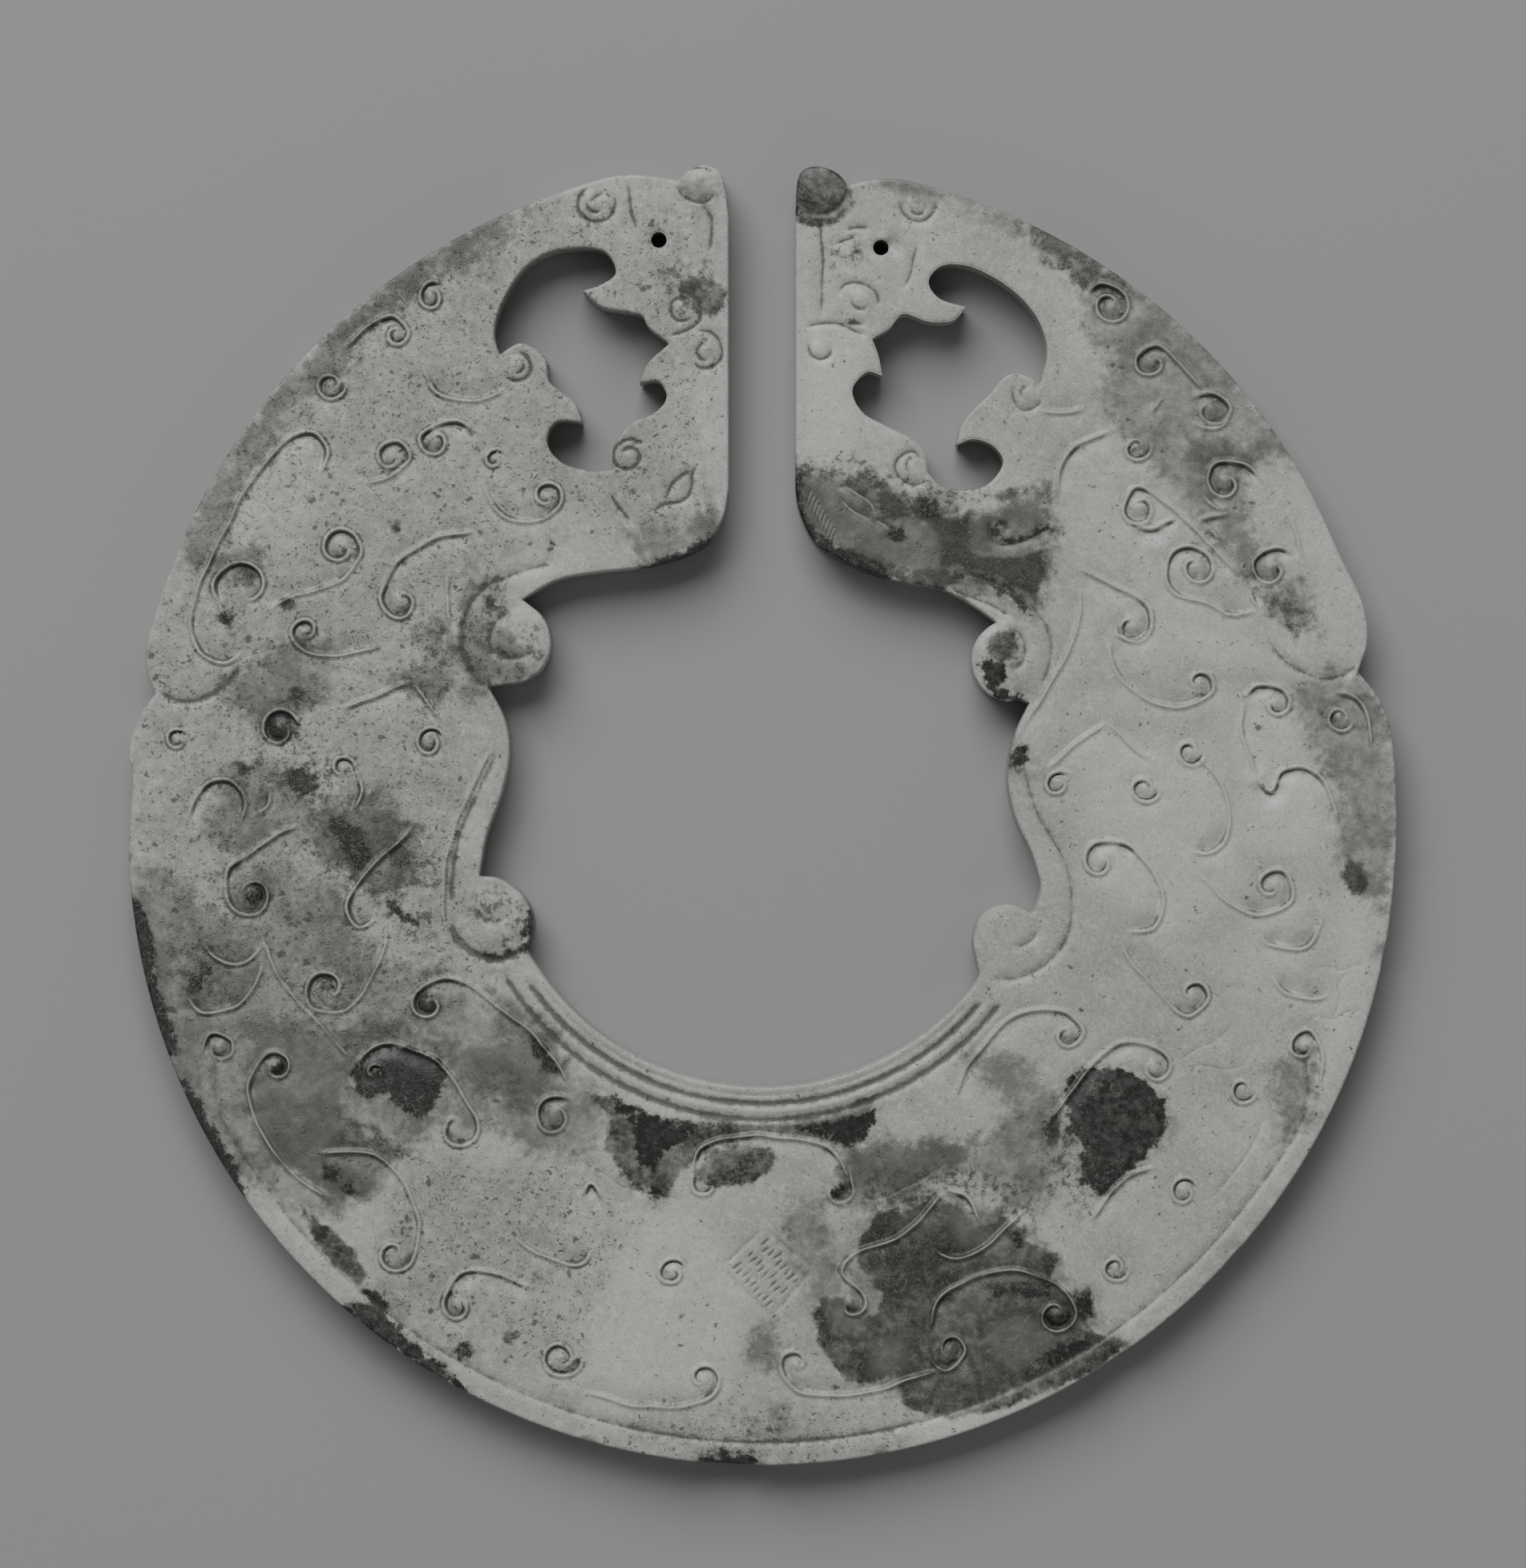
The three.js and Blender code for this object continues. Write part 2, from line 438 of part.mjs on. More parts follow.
// The stone stands on its underside, with the origin under the middle of its outline.
const slitRing = new THREE.Mesh(geometry, new THREE.MeshStandardMaterial({
  color: 0xc9c8bf,
  roughness: 0.42,
  metalness: 0,
}));
slitRing.name = "slit_ring";
geometry.computeBoundingBox();
const middle = geometry.boundingBox.getCenter(new THREE.Vector3());
slitRing.position.set(-middle.x, -middle.y, 0);

const root = new THREE.Group();
root.add(slitRing);

export default root;
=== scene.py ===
import math

import bpy
import numpy as np
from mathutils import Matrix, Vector, noise
from mathutils.geometry import delaunay_2d_cdt
from mathutils.kdtree import KDTree


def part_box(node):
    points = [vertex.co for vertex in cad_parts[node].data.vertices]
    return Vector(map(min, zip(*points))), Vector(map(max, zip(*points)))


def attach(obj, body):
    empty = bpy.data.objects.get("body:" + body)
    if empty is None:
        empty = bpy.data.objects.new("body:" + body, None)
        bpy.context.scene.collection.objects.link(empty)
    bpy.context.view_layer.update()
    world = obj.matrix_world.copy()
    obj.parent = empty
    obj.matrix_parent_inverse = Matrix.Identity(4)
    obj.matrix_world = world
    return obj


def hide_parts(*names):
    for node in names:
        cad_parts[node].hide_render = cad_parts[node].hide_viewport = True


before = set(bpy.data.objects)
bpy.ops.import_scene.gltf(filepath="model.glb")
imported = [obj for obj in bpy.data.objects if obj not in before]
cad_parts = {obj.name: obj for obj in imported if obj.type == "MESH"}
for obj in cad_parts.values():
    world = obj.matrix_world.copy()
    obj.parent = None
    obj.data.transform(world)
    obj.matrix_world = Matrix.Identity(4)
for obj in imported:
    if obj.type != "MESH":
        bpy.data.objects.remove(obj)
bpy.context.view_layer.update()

# The ring: one slab of pale nephrite with darker clouds, sawn, drilled and carved by hand. Its
# front carries raised threads with a hollow cut beside each, its two heads face each other over
# the slit, and its back is plain but for a few lines. Long burial has stained and pitted it.
OUTER_RADIUS = 0.101
SLAB = 0.009
SLIT_WIDTH = 0.0106
FRONT_ROUNDING = 0.00038
BACK_ROUNDING = 0.0005
WALL_ROWS = 6
EDGE_STEP = 0.0006
LINE_STEP = 0.00062
FACE_STEP = 0.00105
BACK_STEP = 0.0022
CLOSEST = 0.00018
THREAD_HEIGHT = 0.00030
THREAD_WIDTH = 0.00025
HOLLOW_DEPTH = 0.00046
HOLLOW_WIDTH = 0.0016
CURL_HOLLOW_DEPTH = 0.00048
CURL_RADIUS = 0.0045
# Kinds of cut: the depth and width, then how much dark it holds, as dirt and painted shade, and how
# pale it is, as wear and painted highlight.
GROOVE = (0.00042, 0.00031, 0.9, 0.0)
CHANNEL = (0.00062, 0.00056, 1.15, 0.0)
SOFT_CUT = (0.00055, 0.00055, 0.72, 0.0)
RIM_LINE = (0.00026, 0.00030, 0.42, 0.0)
RIM_CHANNEL = (0.00042, 0.00050, 0.62, 0.0)
HAIRLINE = (0.00010, 0.00018, 0.5, 0.0)
SCRATCH = (0.00016, 0.00020, 0.0, 0.6)
LID = (0.00042, 0.00030, 0.0, 0.65)
STROKE = (0.00016, 0.00022, 0.95, 0.0)
TAPER = 0.0022
WANDER, WANDER_SCALE = 0.0004, 0.005
WORN_SCALE = 0.006
PLAIN_EDGE = (0.0002, 0.0014)
SWELL, SWELL_SCALE = 0.00010, 0.014
RIPPLE, RIPPLE_SCALE = 0.00004, 0.004
THREAD_ROWS = (0, 0.00024, -0.00024, 0.0005, -0.0005, 0.0009, -0.0009)
CUT_ROWS = (0, 0.9, -0.9, 2, -2)
EDGE_ROWS = (0.00020, 0.00042, 0.0009)
BUTTON_HEIGHT = 0.00032
BOSS_HEIGHT = 0.00045

# The outline and the carving are in hundredths of the outer radius from the ring's centre.
low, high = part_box("slit_ring")
unit = OUTER_RADIUS / 100
centre = np.array([high.x - 100 * unit, low.y + 99.9 * unit])
slit_wall = SLIT_WIDTH / 2 / unit


def arc(x, y, radius, start, end, count=9):
    """Points of an arc about a centre, from one angle to another in degrees."""
    angles = np.radians(np.linspace(start, end, count))
    return [[x + radius * math.cos(a), y + radius * math.sin(a)] for a in angles]


def beside(side, away, y):
    """A point beside the slit: side is -1 on the left and 1 on the right."""
    return [side * (slit_wall + away), y]


def metres(places):
    """Places given in hundredths of the radius from the ring's centre, in metres."""
    return centre + unit * np.asarray(places, float)


def smooth(points, step):
    """Evenly spaced points, in metres, on a smooth line through points given in hundredths."""
    given = np.array(points, float)
    if len(given) > 2:
        ends = np.vstack([2 * given[0] - given[1], given, 2 * given[-1] - given[-2]])
        share = np.linspace(0, 1, 16, endpoint=False)[:, None]
        stretches = []
        for a, b, c, d in zip(ends, ends[1:], ends[2:], ends[3:]):
            knots = np.cumsum([0] + [max(np.linalg.norm(q - p) ** 0.5, 1e-6)
                                     for p, q in ((a, b), (b, c), (c, d))])
            t = knots[1] + share * (knots[2] - knots[1])

            def between(p, q, i, j):
                return (p * (knots[j] - t) + q * (t - knots[i])) / (knots[j] - knots[i])

            ab, bc, cd = between(a, b, 0, 1), between(b, c, 1, 2), between(c, d, 2, 3)
            stretches.append(between(between(ab, bc, 0, 2), between(bc, cd, 1, 3), 1, 2))
        given = np.vstack(stretches + [given[-1:]])
    given = metres(given)
    along = np.r_[0, np.cumsum(np.linalg.norm(np.diff(given, axis=0), axis=1))]
    count = max(2, round(along[-1] / step) + 1)
    even = np.linspace(0, along[-1], count)
    return np.c_[np.interp(even, along, given[:, 0]), np.interp(even, along, given[:, 1])]


def outline(runs, step):
    """A closed outline of smooth runs that meet at sharp corners."""
    return np.vstack([smooth(run, step)[:-1] for run in runs])


CURL_POINTS_PER_TURN = 12
CURL_CLOSING = 0.68
BUTTON_SHARE = 0.42


def scroll(tail, about, turns=1.2):
    """A tail's points, then a curl that winds in about a centre, positive anticlockwise."""
    away = np.array(tail[-1], float) - about
    start, reach = math.atan2(away[1], away[0]), np.linalg.norm(away)
    share = np.linspace(0, 1, math.ceil(abs(turns) * CURL_POINTS_PER_TURN) + 1)[1:]
    angle = start + share * turns * 2 * math.pi
    radius = reach * (1 - CURL_CLOSING * share)
    curl = np.c_[about[0] + radius * np.cos(angle), about[1] + radius * np.sin(angle)]
    buttons.append([about[0], about[1], BUTTON_SHARE * reach])
    return [*tail, *curl.tolist()]


left_knob = [
    beside(-1, 0, 97), beside(-1, 0.3, 99.4), beside(-1, 0.6, 101.6), beside(-1, 1.4, 104),
    beside(-1, 4.1, 105.1), beside(-1, 6.9, 103.9), [-13.5, 102.7],
]
left_shoulder = [
    [-13.5, 102.7], [-17.5, 103.3], *arc(0, 6.5, 99.5, 103, 160),
    [-95.6, 34.7], [-97.1, 29], [-96.8, 24.6], [-95.6, 21.8],
]
lower_rim = [
    [-95.6, 21.8], [-97.4, 19.3], [-99.1, 16], [-99.8, 11], *arc(0, 0, 99.9, 174, 350, 21),
    [99.7, -6], [100, 1], [99.8, 9], [98.9, 16.8], [97.2, 20.9], [93.9, 25.2],
]
right_shoulder = [
    [93.9, 25.2], [95.4, 30], [94.8, 35.6], *arc(0, 7.2, 98.1, 21.5, 76.5),
    [20.1, 102.9], [16.6, 102.6], [13.5, 101.9],
]
right_knob = [
    [13.5, 101.9], beside(1, 6.7, 103.7), beside(1, 3.5, 104.9), beside(1, 1, 104.1),
    beside(1, 0.3, 102.4), beside(1, 0.1, 99.5), beside(1, 0, 97),
]
right_chin = [
    beside(1, 0, 54), beside(1, 0.5, 51), [8.3, 45.6], [12.4, 42.8], [19.4, 40],
    [28.4, 38.1], [33.6, 35.4], [36.9, 33],
]
right_upper_boss = [[36.9, 33], *arc(39.5, 27, 6.5, 125, 280), [42.1, 20.3]]
right_lobe = [
    [42.1, 20.3], [40, 15.6], [38.7, 9], [40, 2], [42.6, -3.6], [43.9, -9], [42.6, -12.9],
]
right_lower_boss = [
    [42.6, -12.9], [38.8, -11.4], [34.9, -12.8], [33.3, -16.6], [34.3, -22.6],
]
inner_rim = [[34.3, -22.6], *arc(0, 2.4, 42.7, -39, -149, 12), [-37.2, -18.4]]
left_lower_boss = [
    [-37.2, -18.4], [-36.1, -14.2], [-37.5, -10.4], [-41.6, -7.4], [-44.6, -7],
]
left_lobe = [
    [-44.6, -7], [-43.5, -0.7], [-41, 6.3], [-39.8, 12.5], [-40.4, 17.3], [-43.1, 22.8],
]
left_upper_boss = [[-43.1, 22.8], *arc(-40, 29.9, 6.7, -90, 60), [-37.8, 36.6]]
left_chin = [
    [-37.8, 36.6], [-32.3, 39.7], [-26, 40.9], [-16.7, 42.1], [-8.9, 45.2],
    beside(-1, 0.9, 49.6), beside(-1, 0, 54),
]
ring_runs = [
    left_knob, left_shoulder, lower_rim, right_shoulder, right_knob,
    [right_knob[-1], right_chin[0]], right_chin, right_upper_boss, right_lobe,
    right_lower_boss, inner_rim, left_lower_boss, left_lobe, left_upper_boss, left_chin,
    [left_chin[-1], left_knob[0]],
]

# The two pierced openings, behind the jaws of the heads.
left_opening = [
    [[-41.4, 75.2], [-42.2, 78.4], [-41.3, 82.5], [-37.8, 88.4], [-33.7, 91.2], [-28.8, 92],
      [-24.7, 91.3], [-23.1, 88], [-25.7, 86.1], [-28.3, 85.3]],
    [[-28.3, 85.3], [-25.7, 82.9], [-21.5, 81.9], [-18.9, 81.3], [-18.1, 79.7], [-14.7, 76.9]],
    [[-14.7, 76.9], [-18.1, 73.7], [-19.3, 70.7]],
    [[-19.3, 70.7], [-16.2, 70.9], [-15.1, 68.3], [-17, 66], [-20.8, 64.3], [-23.3, 61],
      [-23.6, 57]],
    [[-23.6, 57], [-27.4, 56.9], [-31.9, 58.4], [-33.9, 61.4], [-32.6, 64.5], [-28.3, 64.5]],
    [[-28.3, 64.5], [-29.3, 67.4], [-33.6, 71.1], [-34, 74.5], [-38, 77], [-41.4, 75.2]],
]

right_opening = [
    [[43.7, 70.4], [44.9, 75.6], [43.8, 80.1], [40.9, 84.1], [36.3, 87.5], [31.8, 89.3],
      [28, 89.1], [26.2, 86.7], [27.7, 84.2], [32.1, 82.7]],
    [[32.1, 82.7], [30.1, 80.6], [26.3, 80.4], [22.1, 81.6], [20.1, 79.4], [17.3, 77.7]],
    [[17.3, 77.7], [18.3, 75.1], [18.9, 71.9]],
    [[18.9, 71.9], [16.6, 72.5], [14.2, 69.7], [15.7, 66.2], [19.4, 64], [24.9, 60.9],
      [26.1, 56.5]],
    [[26.1, 56.5], [28, 54.6], [31.5, 53.9], [35.3, 54.6], [38, 58.3], [36.3, 60.9],
      [33.2, 61.9], [30.6, 61]],
    [[30.6, 61], [31.6, 64.5], [35.8, 69], [38.8, 72.1], [41.9, 71.8], [43.7, 70.4]],
]

# The heads' lines are plain cuts, round each curl and along the folds, lips and lids. Each curl
# closes on a low button.
buttons = []
head_cuts = [
    [[-12.2, 104.1], [-9.6, 104.7], [-6.8, 103.7]],
    [[-13.6, 102.2], [-12.7, 100.2], [-10.4, 99.2], [-8.4, 99.6], [-7, 101]],
    arc(-26.2, 98.9, 2.9, 95, 400, 14), [[-27.4, 99], [-26, 100.2], [-24.6, 100.7]],
    arc(-26.2, 98.9, 1.4, 150, 330, 8),
    [[-21.5, 102.9], [-21.2, 100.5], [-20.7, 97.7], [-19.3, 94.6]],
    [[-9.6, 98.8], [-7.9, 96.9], [-8, 94.4], [-8.3, 90.6]],
    [[-15.3, 77.7], [-13.9, 78.2], [-11.8, 78.9], [-10.3, 80.1], [-9.6, 82.5], [-11, 84.9],
     [-13.4, 85]],
    arc(-12.6, 82.3, 1.8, 30, 330, 12),
    [[-11, 79], [-8.4, 78.7], [-6.5, 77], [-6.4, 74.7], [-8, 73.1], [-10, 73.4], [-11, 75]],
    arc(-8.9, 75.7, 1.3, 60, 320, 9),
    scroll([[-18.6, 60.8]], [-21, 59.2], 1.5), [[-20.5, 61.4], [-18.6, 61.4]],
    arc(-38.7, 73.3, 2.3, 110, -150, 11), arc(-38.7, 73.3, 1.1, 60, -120, 7),
    [[-9.9, 58.5], [-11, 56.5], [-11.3, 54.1], [-12.7, 52.4], [-15.3, 51.5], [-17.6, 50]],
    [[-10.5, 57.4], [-13.2, 55.7], [-14.6, 54.1], [-15.3, 51.5]],
    [[-24, 53.5], [-20, 48]],
    arc(9.4, 101.3, 3.9, 190, 372, 10), [[9.5, 97], [9.5, 80.7]],
    [[9.8, 99.3], [11, 98.6], [12.3, 98.8], [13, 99.8], [13.2, 101]],
    [[27.5, 99.5], [26.9, 97.5], [25, 96.2], [23, 96.6], [21.8, 98], [22.2, 99.8]],
    arc(24.4, 98.4, 1.2, 160, 380, 8),
    [[11, 92.1], [12.5, 92.8], [14, 93.5], [15.3, 94.4]],
    [[13, 94.6], [14.2, 95.2], [15.6, 95.4], [17.4, 95]],
    [[25, 93], [24.2, 91.5], [23.7, 90], [23.5, 88.5], [22.9, 86.5], [22, 85]],
    [[12, 84], [12.8, 86], [14.5, 86.5], [16.8, 85.8], [18.2, 83.8], [17.8, 82]],
    arc(15.6, 83.6, 1.4, 150, 340, 8),
    [[6.5, 79], [8, 79.9], [10, 80.2], [12.5, 80], [14, 79.3], [17, 78]],
    [[12.5, 80.4], [14.5, 80.3], [16.5, 79.9]], arc(9, 76, 1.7, 120, 400, 10),
    [[25.7, 58], [24, 59.9], [21.3, 58.8], [20.9, 57.3], [22.9, 54.9], [25.4, 55.2],
     [25.8, 56.4]],
    [[24.6, 58.7], [23.3, 58.8], [22.6, 57.6], [23.3, 56]],
    arc(41.8, 68.8, 2.3, 130, 380, 11), arc(41.8, 69.1, 1, 60, 260, 7),
    [[37.5, 49], [36.2, 48.7], [35.7, 47.3], [36.2, 45.8], [38, 45.1], [42, 46], [45.7, 48.4]],
    arc(37.6, 47.6, 0.9, -60, 170, 6),
    [[29, 38.4], [33, 36.9], [36.5, 35.3], [40, 33.6]],
]

# The right eye's lids, on a dark stain, show by pale lines along them: a painted highlight as well
# as wear.
lid_cuts = [
    [[11.6, 54.2], [13.3, 54.4], [15.4, 53], [17.2, 51.6], [17.8, 49.6]],
    [[11.8, 53.4], [13.7, 50.9], [15.4, 49.8], [17.6, 49.2]], [[17.6, 49.4], [20, 48.2]],
]

# Broad soft cuts turn in on the bosses and follow the inner edge.
soft_cuts = [
    [[-32.3, 42.6], [-39.2, 40.6], [-43.8, 38.4], [-46.6, 34.7], [-47.3, 29.9], [-46, 25.4],
     [-42.9, 22]],
    [[-38.6, 35.4], [-42, 33], [-43, 29.4], [-40.4, 27.6], [-37, 28], [-35.8, 31]],
    [[30, 41.2], [36, 39.4], [41, 36.8], [44.4, 33], [45.5, 29.4], [45.2, 26.2], [43.6, 22.6]],
    [[38.4, 25.4], [40.8, 26.6], [41.4, 29], [40.4, 31.4], [38, 32.4]],
    [[-41.5, 13], [-44.7, 6.3], [-47.5, 0], [-48.8, -7], [-49, -12]],
    [[-45.6, -10.6], [-45, -12.6], [-43.6, -13.8], [-41.4, -14], [-39.6, -12.6]],
    [[39.1, -17.9], [41.3, -17.7], [43, -16.3], [43.4, -14.4]],
    [[40.6, 14], [41.4, 9.6], [43.3, 3], [46, -1.6], [48, -5.6], [48.8, -11.6], [48, -16.6],
     [45.2, -20.4], [41.3, -22.7], [38, -23.2], [35.6, -22.4]],
    [[-95.6, 22.4], [-94.2, 21.6], [-91.3, 20.5], [-87.4, 21.2], [-84.3, 23.4], [-82, 26.8]],
    [[94.4, 27.4], [92.2, 25], [88.3, 24.1], [84.4, 25.6], [81.4, 27.8], [80, 30.6]],
]

# Threads of the body on the left of the slit, from the top round to the bottom.
left_threads = [
    [[-40.2, 69.6], [-45.4, 67.9], [-50.8, 69.1], [-53.5, 73.2]],
    scroll([[-66, 75.9], [-62.2, 79.6], [-58, 81.4], [-55.8, 78.8]], [-57.7, 78.4], -1.1),
    scroll([[-50, 85.6]], [-52.1, 84.2], 1.3), scroll([[-65.6, 71.2]], [-68.1, 70.4], -1.3),
    [[-69.3, 56.5], [-68.4, 60], [-70.5, 62.8], [-74.3, 62.2], [-78.1, 58.3], [-82.3, 52.7],
     [-84.3, 48.2], [-87.1, 42.3], [-89.5, 36.4], [-90.1, 33.3], [-88.5, 28.2], [-85, 26.5],
     [-81.4, 28.2]],
    scroll([[-63.2, 55.1], [-58.4, 55.9], [-55.5, 59]], [-58.4, 59], 1.1),
    scroll([[-44, 62.3], [-48.8, 64.7], [-53.9, 62.6]], [-51.5, 61.6], 1),
    scroll([[-40.4, 58.9]], [-42.2, 58.8], 1.2),
    scroll([[-43.7, 54.9], [-42, 50.8], [-38, 48.8], [-34, 49.4], [-31.7, 51.8]],
           [-34, 52.9], 1.1),
    scroll([[-77.3, 35], [-73.3, 37.4], [-66.3, 39.5], [-63.3, 44]], [-66.6, 44.8], 1.2),
    scroll([[-84.5, 33], [-86.4, 38.5]], [-81.5, 38.5], -0.8),
    scroll([[-45.1, 47], [-50.1, 46.6], [-57.7, 42.1], [-59.9, 38]], [-57, 36.2], 1),
    scroll([[-59.8, 28.9], [-71.9, 28.1], [-74.2, 31.2]], [-72, 31.5], -1),
    [[-49.2, 40.9], [-49.6, 38.1], [-49.4, 34.7], [-48.9, 31.9]],
    [[-66.5, 19], [-61.8, 21.1], [-55.1, 23.7]], [[-55.1, 23.7], [-50.4, 17]],
    scroll([[-50, 14.2]], [-52.5, 14], 1.3), scroll([[-72.7, 16.3]], [-76.2, 16.1], 1.2),
    scroll([[-90, 15]], [-92.1, 14.4], 1.2),
    scroll([[-64.6, 2.8], [-63.2, 6.3], [-64, 9.8]], [-66, 10.2], 1),
    [[-90.5, 1], [-89.6, 5.1], [-86.9, 7.8], [-84.2, 8.2], [-81.6, 5], [-82.7, 0.9]],
    [[-77.7, 6.7], [-77.7, 4.3], [-80, 2.4]],
    scroll([[-72.6, 0.7], [-75.7, 0.1], [-80.5, -3.3], [-84.2, -5.9], [-84.4, -9.6]],
           [-80.5, -9.9], 1.1),
    [[-87.8, -17.3], [-87.1, -19.1], [-83.3, -20.9], [-80.9, -20.3], [-78.3, -17.3]],
    [[-78.6, -20.1], [-79.1, -22.2], [-82.6, -27.2], [-88.2, -28.4], [-91.3, -25.3]],
    [[-79.1, -16], [-75.7, -23.7], [-71.9, -28.1], [-64.6, -36]],
    [[-54.6, 1], [-59.1, -3.1], [-63.6, -8], [-65.6, -12.1], [-63.6, -14.9], [-60.1, -13.5]],
    scroll([[-58.9, -16], [-60.4, -21.1], [-65.6, -28.1], [-70.5, -28.1]], [-68.6, -24.8], -0.9),
    scroll([[-30.2, -40.2], [-33.7, -34.6], [-41.3, -27.7], [-50, -22.9], [-54.8, -25.6]],
           [-52.6, -27.3], 0.9),
    scroll([[-29.6, -42.6]], [-32.6, -45], 1.2),
    scroll([[-68.1, -57.9], [-73.1, -54.6], [-78.2, -48.7], [-80.9, -40.4], [-78.6, -35.3]],
           [-76.5, -37], -1),
    scroll([[-88.5, -36], [-87.1, -32], [-83.9, -32.6]], [-85.6, -34.2], -0.9),
    scroll([[-64.5, -37], [-60, -33.4], [-51, -36.5], [-45.6, -44]], [-48, -46.8], -1),
    scroll([[-59.6, -38.6]], [-61, -38], 1.1),
    scroll([[-70, -50.5], [-60, -51.5], [-54.2, -60.5], [-55, -67.4]], [-58, -66.6], -1),
    scroll([[-36.4, -72.1], [-42, -69.7], [-47.2, -69.5], [-50, -73]], [-47.9, -74.7], 0.9),
    [[-39.4, -63.8], [-35, -66.6], [-30.5, -68.2], [-28.1, -67.8], [-26.7, -65.5]],
    [[-28.6, -57.9], [-27.2, -55.3], [-24, -59.3]],
    scroll([[-11.6, -69.5]], [-14.2, -69.5], 1.3), scroll([[-28.4, -82.2]], [-31.8, -83], -1.4),
    scroll([[-27.9, -88.4], [-18.4, -90.8], [-8.7, -89.6], [-6.8, -87]], [-9.3, -86.2], 0.9),
    [[-42.7, 13], [-45.9, 6.3], [-48.7, 0], [-50.1, -7], [-50.2, -13], [-49.4, -17]],
]

